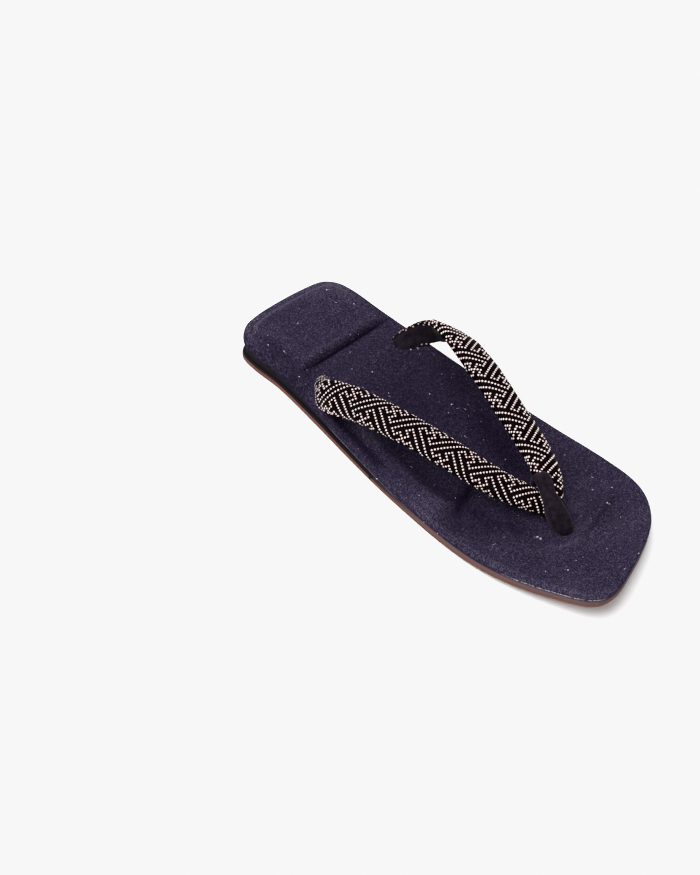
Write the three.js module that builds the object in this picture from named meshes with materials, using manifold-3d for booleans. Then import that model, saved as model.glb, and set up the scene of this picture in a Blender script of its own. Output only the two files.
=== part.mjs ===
// A setta, the flat cloth-topped sandal worn with kimono, for the left foot. A padded cloth footbed lies
// on a thin sole with a wedge under the heel. A stuffed forked strap and a front thong hold the foot.
// Millimetres, +Z up, +Y to the toe, +X to the medial (big toe) side. The sandal stands on Z = 0.
import * as THREE from "three";
import { mergeVertices } from "three/addons/utils/BufferGeometryUtils.js";
import Module from "manifold-3d";

// Overall sizes. "along" is always measured from the back of the heel.
const LENGTH = 265;
const GAP = 0.3;
const POINTS_PER_SIDE = 52;
const OUTLINE_SAMPLES = 600;
const CORNER_WEIGHT = 16;
const MERGE_WITHIN = 1e-3;

// Plan outline: how far the edge lies from the middle of the box on each side, heel to toe.
const OUTLINE = [
  { along: 2, lateral: 21.2, medial: 25.8 },
  { along: 5, lateral: 26.2, medial: 35.7 },
  { along: 10, lateral: 30, medial: 40.1 },
  { along: 20, lateral: 32.5, medial: 41.5 },
  { along: 40, lateral: 34, medial: 40.9 },
  { along: 70, lateral: 38, medial: 43.6 },
  { along: 100, lateral: 42.1, medial: 47.1 },
  { along: 130, lateral: 45.8, medial: 50.1 },
  { along: 160, lateral: 49, medial: 51.5 },
  { along: 180, lateral: 51.2, medial: 51.8 },
  { along: 195, lateral: 51.8, medial: 51.4 },
  { along: 210, lateral: 51.1, medial: 49.7 },
  { along: 222, lateral: 47.9, medial: 47.2 },
  { along: 233, lateral: 41, medial: 44.1 },
  { along: 243, lateral: 30.4, medial: 40.7 },
  { along: 252, lateral: 14.1, medial: 37.5 },
  { along: 259, lateral: -2.4, medial: 34.3 },
  { along: 264, lateral: -15.8, medial: 29 },
];
const HEEL_POINT = { x: -4, along: 0.4 };
const TOE_POINT = { x: 22.8, along: LENGTH };
const SPINE = { share: 0.8, ends: 8, x: 4.4, heelX: -4, heelEase: 70, toeX: 20, toeEase: 180 };

// Sole: flat from the heel to the ball, then rising to the toe.
const OUTSOLE_THICK = 4.2;
const TOE_SPRING = 13.5;
const SPRING_START = 162;
const OUTSOLE_SIDE = [
  { inset: 1.0, rise: 0 },
  { inset: 0.25, rise: 0.16 },
  { inset: 0, rise: 0.45 },
  { inset: 0.25, rise: 0.8 },
  { inset: 0.9, rise: 1 },
];

// Heel wedge: tapers from the heel to a thin tip at the arch, a little inside the sole's edge.
const HEEL_LIFT = 5.8;
const LIFT_END = 140;
const WEDGE_TIP = 122;
const WEDGE_INSET = 1.6;

// Footbed: thicker at the heel, with a rolled edge.
const HEEL_THICK = 10;
const FORE_THICK = 5.8;
const TOE_THICK = 4.4;
const THICK_FROM = 30;
const THICK_TO = 125;
const THIN_FROM = 190;
const FOOTBED_SIDE = [
  { inset: 1.4, rise: 0 },
  { inset: 0.3, rise: 0.12 },
  { inset: 0, rise: 0.4 },
  { inset: 0.4, rise: 0.7 },
  { inset: 1.4, rise: 0.9 },
  { inset: 3.4, rise: 0.98 },
  { inset: 6.5, rise: 1 },
];
const INNER_STEPS = [0.2, 0.4, 0.6, 0.8];
const UNDER_STEP = 0.4;

// Relief of the footbed's top.
const HEEL_PAD = { front: 49, rise: 1.9, root: 3 };
const HEEL_PAD_SIDE = [
  { inset: 7, rise: 0 },
  { inset: 7, rise: 0.9 },
  { inset: 8.1, rise: 0.97 },
  { inset: 9.2, rise: 1 },
];
const ARCH = { rise: 2.4, near: 9, far: 21, from: 72, full: 112, ease: 158, end: 178 };
const DISH = { depth: 1.4, x: -2.6, along: 188, wide: 36, long: 26 };
const TOE_CREST = { rise: 0.9, x: 5.4, along: 229, bend: 0.012, wide: 7 };
const DIMPLE = { depth: 1.2, wide: 9 };

// Straps: each arm is a stuffed flattened tube. Spread is the distance from the middle line of the straps,
// and lean turns the face from looking up (0) to looking outwards (90) to looking down (180).
const STRAP_MIDDLE = 2.3;
const STRAP_SIDES = 16;
const STRAP_STEPS = 44;
const STRAP_FLATNESS = 0.8;
const RUN_STEP = 0.01;
const ARM = [
  { along: 65.4, spread: 20.5, height: 11.5, width: 10, thick: 5.5, lean: 168 },
  { along: 66.2, spread: 22.8, height: 15.2, width: 11.5, thick: 6, lean: 158 },
  { along: 67.8, spread: 27.8, height: 18.2, width: 12.5, thick: 6.6, lean: 134 },
  { along: 71, spread: 34.2, height: 21.6, width: 13.8, thick: 7.2, lean: 104 },
  { along: 77.6, spread: 39.2, height: 25.6, width: 15.8, thick: 7.8, lean: 70 },
  { along: 88, spread: 40.6, height: 30.2, width: 17.4, thick: 8.2, lean: 38 },
  { along: 103, spread: 37.8, height: 33, width: 17.6, thick: 8.4, lean: 17 },
  { along: 122, spread: 32.6, height: 33, width: 17.4, thick: 8.4, lean: 10 },
  { along: 142, spread: 26.4, height: 30.6, width: 16.8, thick: 8.4, lean: 9 },
  { along: 162, spread: 20.4, height: 27.6, width: 16.2, thick: 8.4, lean: 8 },
  { along: 180, spread: 14.6, height: 25.4, width: 15.4, thick: 8.2, lean: 8 },
  { along: 192, spread: 8.8, height: 23.8, width: 15.2, thick: 8, lean: 6 },
  { along: 200.5, spread: 4.6, height: 21.6, width: 11.4, thick: 7, lean: 4 },
  { along: 203.6, spread: 2.8, height: 20, width: 8, thick: 4.6, lean: 4 },
];

// How each arm differs from these rows: its tail lies further out and forward, its middle bows in, and
// its front hangs lower. Side is -1 for the lateral arm and 1 for the medial one.
const ARM_SHIFT = {
  lateral: { side: -1, tailOut: 2, tailForward: 0, bow: -1, frontDrop: 0 },
  medial: { side: 1, tailOut: 2.8, tailForward: 0.8, bow: 0, frontDrop: 2.4 },
};
const TAIL_EASE = { from: 68, to: 96 };
const BOW = { along: 115, long: 28 };
const DROP_EASE = { from: 145, to: 195 };

// Front thong: hooks over the joint of the arms and goes down and forwards into its hole.
const THONG_SIDES = 14;
const THONG_STEPS = 26;
const THONG = [
  { along: 189.7, x: -0.3, height: 21.4, width: 6, thick: 3.4 },
  { along: 190, x: -0.2, height: 25.2, width: 7.6, thick: 3.7 },
  { along: 191.2, x: -0.1, height: 27.7, width: 8.6, thick: 4 },
  { along: 193.4, x: 0.2, height: 28.6, width: 8.8, thick: 4.2 },
  { along: 197, x: 1.2, height: 26.9, width: 8.6, thick: 4.8 },
  { along: 200.4, x: 2.5, height: 24.6, width: 8.6, thick: 5.4 },
  { along: 206.2, x: 4.1, height: 21, width: 10.4, thick: 7.8 },
  { along: 212, x: 5, height: 17, width: 11, thick: 8.8 },
  { along: 216, x: 5.2, height: 13.6, width: 9.6, thick: 8.2 },
  { along: 217.2, x: 5.3, height: 11.8, width: 7.6, thick: 7 },
];
const THONG_HOLE = THONG[THONG.length - 1];

const wasm = await Module();
wasm.setup();

const { clamp, smoothstep, lerp, degToRad } = THREE.MathUtils;
const placed = (x, along, z) => new THREE.Vector3(x, along - LENGTH / 2, z);
const alongOf = (point) => point.y + LENGTH / 2;
const hill = (distance, wide) => Math.exp(-((distance / wide) ** 2));

// Heights of the layers above the floor.
const spring = (along) =>
  TOE_SPRING * (Math.max(0, along - SPRING_START) / (LENGTH - SPRING_START)) ** 2;
const lift = (along) => HEEL_LIFT * Math.max(0, 1 - along / LIFT_END);
const footbedBase = (along) => spring(along) + OUTSOLE_THICK + GAP + lift(along);
const footbedThick = (along) =>
  HEEL_THICK -
  (HEEL_THICK - FORE_THICK) * smoothstep(along, THICK_FROM, THICK_TO) -
  (FORE_THICK - TOE_THICK) * smoothstep(along, THIN_FROM, LENGTH);

// Where the medial edge lies at a place along the foot, from the outline's rows.
function medialEdge(along) {
  const upper = OUTLINE.findIndex((row) => row.along >= along);
  if (upper < 1) return OUTLINE.at(upper).medial;
  const before = OUTLINE[upper - 1];
  const after = OUTLINE[upper];
  return lerp(before.medial, after.medial, (along - before.along) / (after.along - before.along));
}

// Low relief of the footbed's top: arch rise, dish at the ball, crest before the toes, dimple at the thong.
function relief(x, along) {
  const fromEdge = medialEdge(along) - x;
  const archLong = smoothstep(along, ARCH.from, ARCH.full) - smoothstep(along, ARCH.ease, ARCH.end);
  const arch = ARCH.rise * archLong * (1 - smoothstep(fromEdge, ARCH.near, ARCH.far));
  const dish = DISH.depth * hill(x - DISH.x, DISH.wide) * hill(along - DISH.along, DISH.long);
  const crestAlong = TOE_CREST.along - TOE_CREST.bend * (x - TOE_CREST.x) ** 2;
  const crest = TOE_CREST.rise * hill(along - crestAlong, TOE_CREST.wide);
  const fromHole = Math.hypot(x - THONG_HOLE.x, along - THONG_HOLE.along);
  return arch - dish + crest - DIMPLE.depth * hill(fromHole, DIMPLE.wide);
}

// A stretch of a curve as points that crowd together where it turns.
function crowded(curve, from, to, count) {
  const fine = OUTLINE_SAMPLES;
  const points = Array.from({ length: fine + 1 }, (_, i) => curve.getPoint(lerp(from, to, i / fine)));
  const weights = [0];
  for (let i = 1; i <= fine; i++) {
    const step = points[i].clone().sub(points[i - 1]);
    const next = i < fine ? points[i + 1].clone().sub(points[i]) : step;
    weights.push(weights[i - 1] + step.length() + CORNER_WEIGHT * step.angleTo(next));
  }
  const picked = [];
  for (let k = 0, i = 0; k < count; k++) {
    while (weights[i] < (weights[fine] * k) / count) i++;
    picked.push(points[i]);
  }
  return picked;
}

// The outline as a closed ring of points: heel, lateral side, toe, medial side.
function outlineRing() {
  const lateral = OUTLINE.map((row) => placed(-row.lateral, row.along, 0));
  const medial = OUTLINE.map((row) => placed(row.medial, row.along, 0)).reverse();
  const heel = placed(HEEL_POINT.x, HEEL_POINT.along, 0);
  const toe = placed(TOE_POINT.x, TOE_POINT.along, 0);
  const curve = new THREE.CatmullRomCurve3([heel, ...lateral, toe, ...medial], true, "centripetal");
  const outward = crowded(curve, 0, 0.5, POINTS_PER_SIDE);
  const homeward = crowded(curve, 1, 0.5, POINTS_PER_SIDE).slice(1).reverse();
  return [...outward, curve.getPoint(0.5), ...homeward];
}
const EDGE = outlineRing();
const EDGE_COUNT = EDGE.length;

// The outline moved inwards.
function insetRing(inset) {
  return EDGE.map((point, i) => {
    const before = EDGE[(i + EDGE_COUNT - 1) % EDGE_COUNT];
    const after = EDGE[(i + 1) % EDGE_COUNT];
    const run = after.clone().sub(before).normalize();
    return new THREE.Vector3(point.x + run.y * inset, point.y - run.x * inset, 0);
  });
}

// The middle line that the rings close on: points at the same place on both sides share one spine point.
function spineRing() {
  return EDGE.map((point, i) => {
    const opposite = EDGE[(EDGE_COUNT - i) % EDGE_COUNT];
    const along = clamp((alongOf(point) + alongOf(opposite)) / 2, SPINE.ends, LENGTH - SPINE.ends);
    const toHeel = (SPINE.heelX - SPINE.x) * (1 - smoothstep(along, 0, SPINE.heelEase));
    const toToe = (SPINE.toeX - SPINE.x) * smoothstep(along, SPINE.toeEase, LENGTH);
    return placed(SPINE.x + toHeel + toToe, lerp(LENGTH / 2, along, SPINE.share), 0);
  });
}

const blendRings = (ring, other, share) => ring.map((point, i) => point.clone().lerp(other[i], share));
const raised = (ring, height) => ring.map((p) => new THREE.Vector3(p.x, p.y, height(p.x, alongOf(p))));

// Triangles between neighbouring rings, as one closed geometry.
function ringGeometry(rings) {
  const corners = [];
  for (let k = 0; k + 1 < rings.length; k++) {
    const ring = rings[k];
    const above = rings[k + 1];
    for (let i = 0; i < ring.length; i++) {
      const j = (i + 1) % ring.length;
      corners.push(ring[i], above[j], ring[j], ring[i], above[i], above[j]);
    }
  }
  return new THREE.BufferGeometry().setFromPoints(corners);
}

// A geometry with its shared vertices merged and its collapsed triangles dropped, as a solid.
function solid(geometry) {
  const bare = geometry.clone();
  bare.deleteAttribute("normal");
  bare.deleteAttribute("uv");
  const merged = mergeVertices(bare, MERGE_WITHIN);
  const index = merged.index.array;
  const kept = [];
  for (let i = 0; i < index.length; i += 3) {
    const [a, b, c] = [index[i], index[i + 1], index[i + 2]];
    if (a !== b && b !== c && c !== a) kept.push(a, b, c);
  }
  const vertProperties = new Float32Array(merged.attributes.position.array);
  return new wasm.Manifold(new wasm.Mesh({ numProp: 3, vertProperties, triVerts: new Uint32Array(kept) }));
}

function geometryOf(manifold) {
  const { vertProperties, triVerts } = manifold.getMesh();
  const geometry = new THREE.BufferGeometry();
  geometry.setAttribute("position", new THREE.BufferAttribute(vertProperties, 3));
  geometry.setIndex(new THREE.BufferAttribute(triVerts, 1));
  return geometry;
}

function boxSolid(low, high) {
  const size = high.clone().sub(low);
  const geometry = new THREE.BoxGeometry(size.x, size.y, size.z);
  geometry.translate(...low.clone().add(high).multiplyScalar(0.5));
  return solid(geometry);
}

// A slab with the sandal's outline: a flat or bent underside, side rows, and a top.
function slab(sideRows, base, thick, top) {
  const spine = spineRing();
  const sides = sideRows.map((row) =>
    raised(insetRing(row.inset), (x, along) => {
      const share = smoothstep(row.inset, sideRows.at(-3).inset, sideRows.at(-1).inset);
      return base(along) + thick(along) * row.rise + share * row.rise * top(x, along);
    }),
  );
  const lid = (x, along) => base(along) + thick(along) + top(x, along);
  const floor = (x, along) => base(along);
  const rim = insetRing(sideRows.at(-1).inset);
  const inner = INNER_STEPS.map((share) => raised(blendRings(rim, spine, share), lid));
  const under = raised(blendRings(insetRing(sideRows[0].inset), spine, UNDER_STEP), floor);
  return ringGeometry([raised(spine, floor), under, ...sides, ...inner, raised(spine, lid)]);
}

// A tube through frames, each with a middle and the two half axes of its section.
function tubeGeometry(frames, sides) {
  const rings = frames.map(({ middle, across, out }) =>
    Array.from({ length: sides }, (_, k) => {
      const turn = (2 * Math.PI * k) / sides;
      const flat = (value) => Math.sign(value) * Math.abs(value) ** STRAP_FLATNESS;
      const point = middle.clone().addScaledVector(across, flat(Math.cos(turn)));
      return point.addScaledVector(out, flat(Math.sin(turn)));
    }),
  );
  const cap = ({ middle }) => Array.from({ length: sides }, () => middle.clone());
  return ringGeometry([cap(frames[0]), ...rings, cap(frames.at(-1))]);
}

// Rows of a table as smooth values at a share of the way, column by column.
function smoothRows(rows, columns) {
  const curves = columns.map(
    (name) => new THREE.CatmullRomCurve3(rows.map((row, i) => new THREE.Vector3(i, row[name], 0))),
  );
  return (share) => Object.fromEntries(columns.map((name, i) => [name, curves[i].getPoint(share).y]));
}

// One arm of the straps.
function armGeometry(shift, swell) {
  const shared = smoothRows(ARM, ["along", "spread", "height", "width", "thick", "lean"]);
  const row = (share) => {
    const at = shared(share);
    const tail = 1 - smoothstep(at.along, TAIL_EASE.from, TAIL_EASE.to);
    const bow = shift.bow * hill(at.along - BOW.along, BOW.long);
    const drop = shift.frontDrop * smoothstep(at.along, DROP_EASE.from, DROP_EASE.to);
    const along = at.along + shift.tailForward * tail;
    return { ...at, along, spread: at.spread + shift.tailOut * tail + bow, height: at.height - drop };
  };
  const middleOf = (share) => {
    const at = row(share);
    return placed(STRAP_MIDDLE + shift.side * at.spread, at.along, at.height);
  };
  const frames = [];
  for (let i = 0; i <= STRAP_STEPS; i++) {
    const share = i / STRAP_STEPS;
    const at = row(share);
    const before = middleOf(Math.max(0, share - RUN_STEP));
    const run = middleOf(Math.min(1, share + RUN_STEP)).sub(before).normalize();
    const outward = new THREE.Vector3(run.y, -run.x, 0).normalize().multiplyScalar(shift.side);
    const upward = new THREE.Vector3(0, 0, 1).addScaledVector(run, -run.z).normalize();
    const lean = degToRad(at.lean);
    const out = upward.clone().multiplyScalar(Math.cos(lean)).addScaledVector(outward, Math.sin(lean));
    const across = run.clone().cross(out);
    frames.push({
      middle: middleOf(share).addScaledVector(run, swell * (2 * share - 1)),
      across: across.multiplyScalar(at.width / 2 + swell),
      out: out.multiplyScalar(at.thick / 2 + swell),
    });
  }
  return tubeGeometry(frames, STRAP_SIDES);
}

// The thong, whose section always keeps its width level.
function thongGeometry(swell) {
  const row = smoothRows(THONG, ["along", "x", "height", "width", "thick"]);
  const middleOf = (share) => {
    const at = row(share);
    return placed(at.x, at.along, at.height);
  };
  const across = middleOf(1).sub(middleOf(0)).setZ(0).normalize();
  across.set(across.y, -across.x, 0);
  const frames = [];
  for (let i = 0; i <= THONG_STEPS; i++) {
    const share = i / THONG_STEPS;
    const at = row(share);
    const before = middleOf(Math.max(0, share - RUN_STEP));
    const run = middleOf(Math.min(1, share + RUN_STEP)).sub(before).normalize();
    frames.push({
      middle: middleOf(share).addScaledVector(run, swell * (2 * share - 1)),
      across: across.clone().multiplyScalar(at.width / 2 + swell),
      out: across.clone().cross(run).multiplyScalar(at.thick / 2 + swell),
    });
  }
  return tubeGeometry(frames, THONG_SIDES);
}

const flatTop = () => 0;

function outsole() {
  return solid(slab(OUTSOLE_SIDE, spring, () => OUTSOLE_THICK, flatTop));
}

// The wedge is the inset outline, upright, cut by its side view.
function heelWedge() {
  const plan = new THREE.Shape(insetRing(WEDGE_INSET).map((p) => new THREE.Vector2(p.x, p.y)));
  const upright = new THREE.ExtrudeGeometry(plan, { depth: LENGTH, bevelEnabled: false });
  const low = OUTSOLE_THICK + GAP;
  const topAt = (along) => footbedBase(along) - GAP;
  const corners = [
    [-LENGTH / 2, low],
    [WEDGE_TIP - LENGTH / 2, low],
    [WEDGE_TIP - LENGTH / 2, topAt(WEDGE_TIP)],
    [-LENGTH / 2, topAt(0)],
  ];
  const side = new THREE.Shape(corners.map(([y, z]) => new THREE.Vector2(y, z)));
  const across = new THREE.ExtrudeGeometry(side, { depth: LENGTH, bevelEnabled: false });
  across.translate(0, 0, -LENGTH / 2);
  across.rotateX(Math.PI / 2);
  across.rotateZ(Math.PI / 2);
  return solid(upright).intersect(solid(across));
}

// The footbed with its raised heel pad and the holes for strap tails and thong.
function footbed(tails) {
  const body = solid(slab(FOOTBED_SIDE, footbedBase, footbedThick, relief));
  const { front, rise, root } = HEEL_PAD;
  const padBase = (along) => footbedBase(along) + root;
  const padThick = (along) => footbedThick(along) - root + rise;
  const heelPart = boxSolid(placed(-LENGTH, -LENGTH, 0), placed(LENGTH, front, LENGTH));
  const pad = solid(slab(HEEL_PAD_SIDE, padBase, padThick, flatTop)).intersect(heelPart);
  return tails.reduce((left, tail) => left.subtract(tail), body.add(pad));
}

const arms = (swell) => Object.values(ARM_SHIFT).map((shift) => solid(armGeometry(shift, swell)));
const thongTool = solid(thongGeometry(GAP));
const strapSolid = arms(0)
  .reduce((joined, arm) => joined.add(arm))
  .subtract(thongTool);

const pieces = [
  { name: "outsole", body: outsole(), color: 0x6b4a42, roughness: 0.6 },
  { name: "heel_wedge", body: heelWedge(), color: 0x1d1b1d, roughness: 0.8 },
  { name: "footbed", body: footbed([...arms(GAP), thongTool]), color: 0x352e43, roughness: 0.95 },
  { name: "straps", body: strapSolid, color: 0x3a3133, roughness: 0.7 },
  { name: "front_thong", body: solid(thongGeometry(0)), color: 0x211a22, roughness: 0.95 },
];

const sandal = new THREE.Group();
for (const { name, body, color, roughness } of pieces) {
  const material = new THREE.MeshStandardMaterial({ color, roughness, metalness: 0 });
  const mesh = new THREE.Mesh(geometryOf(body), material);
  mesh.name = name;
  sandal.add(mesh);
}

export default sandal;
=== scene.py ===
# %% [markdown]
# # A setta, finished in Blender
# A setta is a flat sandal: a padded cloth footbed on a thin sole, a wedge under the heel, and a stuffed
# forked strap with a velvet thong between the toes. The measured solids are loaded first and never move.
# Every piece below is made in the same frame, in millimetres on paper and metres in Blender.

# %% Load the measured sandal
import math

import bmesh
import bpy
import numpy as np
from mathutils import Matrix, Vector
from mathutils.bvhtree import BVHTree
from mathutils.kdtree import KDTree


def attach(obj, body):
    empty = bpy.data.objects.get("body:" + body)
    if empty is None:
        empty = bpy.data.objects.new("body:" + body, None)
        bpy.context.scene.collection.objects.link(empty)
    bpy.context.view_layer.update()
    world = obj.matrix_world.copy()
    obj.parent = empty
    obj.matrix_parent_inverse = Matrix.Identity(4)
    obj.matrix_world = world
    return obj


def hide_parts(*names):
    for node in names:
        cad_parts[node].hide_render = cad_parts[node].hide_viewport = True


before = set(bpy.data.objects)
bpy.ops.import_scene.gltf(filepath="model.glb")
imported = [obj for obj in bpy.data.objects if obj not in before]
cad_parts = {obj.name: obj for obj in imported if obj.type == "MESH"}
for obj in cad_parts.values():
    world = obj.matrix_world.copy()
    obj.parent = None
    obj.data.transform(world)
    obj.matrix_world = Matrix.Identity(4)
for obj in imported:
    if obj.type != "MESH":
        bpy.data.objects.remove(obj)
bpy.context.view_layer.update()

MM = 0.001
LENGTH = 265

# %% [markdown]
# ## The camera
# The picture looks down on the sandal from beyond its toe, on the side of the big toe. The place and the
# two directions were fitted to the sandal's edge. A long lens keeps heel and toe nearly in scale.

# %% Camera
PICTURE = (700, 875)
CAMERA_PLACE = Vector((639.7, 535.88, 800.12)) * MM
CAMERA_LOOK = Vector((-0.5224, -0.49873, -0.69164))
CAMERA_UP = Vector((-0.42863, -0.54759, 0.71862))
FOCAL_PIXELS = 2199.3
SENSOR = 36

camera_data = bpy.data.cameras.new("camera")
camera_data.sensor_width = SENSOR
camera_data.lens = FOCAL_PIXELS * SENSOR / max(PICTURE)
camera = bpy.data.objects.new("camera", camera_data)
camera_right = CAMERA_LOOK.cross(CAMERA_UP).normalized()
axes = Matrix((camera_right, camera_right.cross(CAMERA_LOOK), -CAMERA_LOOK.normalized()))
camera.matrix_world = Matrix.Translation(CAMERA_PLACE) @ axes.transposed().to_4x4()
bpy.context.scene.collection.objects.link(camera)
bpy.context.scene.camera = camera
print("lens", round(camera_data.lens, 2), "mm")

# %% [markdown]
# ## Smooth curves through a few rows
# A maker draws an outline or a section through a handful of measured points. The same is done here: a
# short table gives the points, and a curve whose pace follows their distance passes through them all
# without loops. The columns of a table are smoothed one by one.

# %% Curve helpers
def smooth_curve(points, steps, closed=False):
    """A smooth curve through the points, with the same number of steps in every gap."""
    points = np.asarray(points, float)
    first, last = 2 * points[:1] - points[1:2], 2 * points[-1:] - points[-2:-1]
    if closed:
        first, last = points[-1:], points[:2]
    chain = np.concatenate([first, points, last])
    pace = np.linalg.norm(np.diff(chain, axis=0), axis=1)[:, None] ** 0.5
    before, start, end, after = chain[:-3], chain[1:-2], chain[2:-1], chain[3:]
    pace_in, pace_here, pace_out = pace[:-2], pace[1:-1], pace[2:]
    leave = (start - before) / pace_in - (end - before) / (pace_in + pace_here) + (end - start) / pace_here
    arrive = (end - start) / pace_here - (after - start) / (pace_here + pace_out) + (after - end) / pace_out
    leave, arrive = leave * pace_here, arrive * pace_here
    share = (np.arange(steps) / steps)[None, :, None]
    start, end, leave, arrive = (part[:, None, :] for part in (start, end, leave, arrive))
    cubic = 2 * start - 2 * end + leave + arrive
    square = -3 * start + 3 * end - 2 * leave - arrive
    curve = ((cubic * share + square) * share + leave) * share + start
    curve = curve.reshape(-1, points.shape[1])
    return curve if closed else np.concatenate([curve, points[-1:]])


def smooth_rows(rows, steps):
    """The rows of a table with smooth steps between them, column by column."""
    rows = np.asarray(rows, float)
    count = np.arange(len(rows))
    columns = [smooth_curve(np.stack([count, column], 1), steps)[:, 1] for column in rows.T]
    return np.stack(columns, 1)


def smoothstep(value, low, high):
    share = np.clip((value - low) / (high - low), 0, 1)
    return share * share * (3 - 2 * share)


def hill(distance, wide):
    return np.exp(-((distance / wide) ** 2))


def unit(vectors):
    return vectors / np.linalg.norm(vectors, axis=-1, keepdims=True)


def travelled(points):
    """How far each point of a line lies from its first one, along the line."""
    return np.concatenate([[0], np.cumsum(np.linalg.norm(np.diff(points, axis=0), axis=1))])


# %% [markdown]
# ## The outline in plan
# Sole, wedge and footbed are cut to one outline: nearly straight sides, a square heel, and a slanted front
# that runs to a corner at the big toe. Each row gives the edge on both sides of the middle line at one
# place along the foot. The ring of points that comes out also knows which way is inwards.

# %% Outline
OUTLINE = (  # along from the heel, lateral edge, medial edge
    (2, 21.2, 25.8), (5, 26.2, 35.7), (10, 30, 40.1), (20, 32.5, 41.5), (40, 34, 40.9), (70, 38, 43.6),
    (100, 42.1, 47.1), (130, 45.8, 50.1), (160, 49, 51.5), (180, 51.2, 51.8), (195, 51.8, 51.4),
    (210, 51.1, 49.7), (222, 47.9, 47.2), (233, 41, 44.1), (243, 30.4, 40.7), (252, 14.1, 37.5),
    (259, -2.4, 34.3), (264, -15.8, 29),
)
HEEL_POINT = (-4, 0.4)
TOE_POINT = (22.8, LENGTH)
RING_STEPS = 24

lateral_side = [(-lateral, along) for along, lateral, medial in OUTLINE]
medial_side = [(medial, along) for along, lateral, medial in reversed(OUTLINE)]
ring = smooth_curve([HEEL_POINT, *lateral_side, TOE_POINT, *medial_side], RING_STEPS, closed=True)
ring_run = unit(np.roll(ring, -1, 0) - np.roll(ring, 1, 0))
ring_inward = np.stack([ring_run[:, 1], -ring_run[:, 0]], 1)
ring_tree = KDTree(len(ring))
for index, (x, along) in enumerate(ring):
    ring_tree.insert((x, along, 0), index)
ring_tree.balance()
print("outline of", len(ring), "points")


def ring_points(position, inset):
    """Points of the ring at fractional places on it, moved inwards."""
    low = np.floor(position).astype(int)
    part = (position - low)[:, None]
    one, two = low % len(ring), (low + 1) % len(ring)
    edge = ring[one] * (1 - part) + ring[two] * part
    inward = ring_inward[one] * (1 - part) + ring_inward[two] * part
    return edge + inward * inset[:, None]


def edge_distance(x, along):
    """How far places lie from the outline."""
    return np.array([ring_tree.find((a, b, 0))[2] for a, b in zip(x, along)])


# %% [markdown]
# ## A slab with that outline
# A grid with four sides lies well on a foot shape: its four corners go to the two heel corners, the big
# toe's corner and the little toe's bend, so its lines run along and across the foot as the cloth does.
# The grid is extruded once to a slab, and the walls are cut into rows. Then every vertex, known by its
# shares across, along and up, is moved to its place on the sandal.

# %% Grid on the outline
GRID_CORNERS = {"heel_lateral": (-28, 6), "toe_lateral": (-50, 214), "toe_medial": (31.5, 261.5),
                "heel_medial": (37, 5)}
corner_at = {name: ring_tree.find((*place, 0))[1] for name, place in GRID_CORNERS.items()}
print("grid corners at", corner_at)
ring_travel = travelled(np.concatenate([ring, ring, ring[:1]]))


def side_points(first, last, share, inset):
    """Points at shares of the way along one side of the grid."""
    if last < first:
        last += len(ring)
    travel = ring_travel[first] + (ring_travel[last] - ring_travel[first]) * share
    return ring_points(np.interp(travel, ring_travel, np.arange(len(ring_travel))), inset)


def plan_places(across, along, inset):
    """Where shares across (lateral to medial) and along (heel to toe) lie in plan."""
    at = corner_at
    heel = side_points(at["heel_medial"], at["heel_lateral"], 1 - across, inset)
    toe = side_points(at["toe_lateral"], at["toe_medial"], across, inset)
    lateral = side_points(at["heel_lateral"], at["toe_lateral"], along, inset)
    medial = side_points(at["toe_medial"], at["heel_medial"], 1 - along, inset)
    corners = [ring_points(np.full(len(across), float(at[name])), inset) for name in GRID_CORNERS]
    heel_lateral, toe_lateral, toe_medial, heel_medial = corners
    u, v = across[:, None], along[:, None]
    ruled = (1 - v) * heel + v * toe + (1 - u) * lateral + u * medial
    low = (1 - u) * heel_lateral + u * heel_medial
    high = (1 - u) * toe_lateral + u * toe_medial
    return ruled - (1 - v) * low - v * high


# %% Slab
WALL_STEPS = 3


def unit_slab(columns, rows, wall_rows):
    """A slab of a unit grid, with its shares across, along and up for each vertex."""
    made = bmesh.new()
    bmesh.ops.create_grid(made, x_segments=columns, y_segments=rows, size=0.5)
    upper = bmesh.ops.extrude_face_region(made, geom=made.faces[:])["geom"]
    upper = [part for part in upper if isinstance(part, bmesh.types.BMVert)]
    bmesh.ops.translate(made, verts=upper, vec=(0, 0, 1))
    upright = [edge for edge in made.edges if abs(edge.verts[0].co.z - edge.verts[1].co.z) > 0.5]
    bmesh.ops.subdivide_edges(made, edges=upright, cuts=wall_rows - 1, use_grid_fill=True)
    bmesh.ops.recalc_face_normals(made, faces=made.faces[:])
    places = np.array([vert.co for vert in made.verts])
    return made, places + (0.5, 0.5, 0)


def edged_slab(side, columns, rows):
    """A slab whose walls follow a side curve, with the place, inset, rise and share up of each vertex."""
    curve = smooth_curve(side, WALL_STEPS)
    made, share = unit_slab(columns, rows, len(curve) - 1)
    level = np.linspace(0, 1, len(curve))
    inset, rise = (np.interp(share[:, 2], level, column) for column in curve.T)
    x, along = plan_places(share[:, 0], share[:, 1], inset).T
    return made, {"x": x, "along": along, "inset": inset, "rise": rise, "up": share[:, 2]}


# %% [markdown]
# ## From a bmesh to a piece
# Every piece ends the same way: its vertices go to their places, and the mesh gets smooth shading, its
# attributes and its materials. It rides on the sandal's one body, and the solid it stands for is hidden.
# One function does this for all, so no piece can miss a step.

# %% Piece helpers
def place_vertices(made, places):
    """Moves every vertex to its place, given in millimetres."""
    for vert, place in zip(made.verts, places):
        vert.co = Vector(place) * MM


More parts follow.
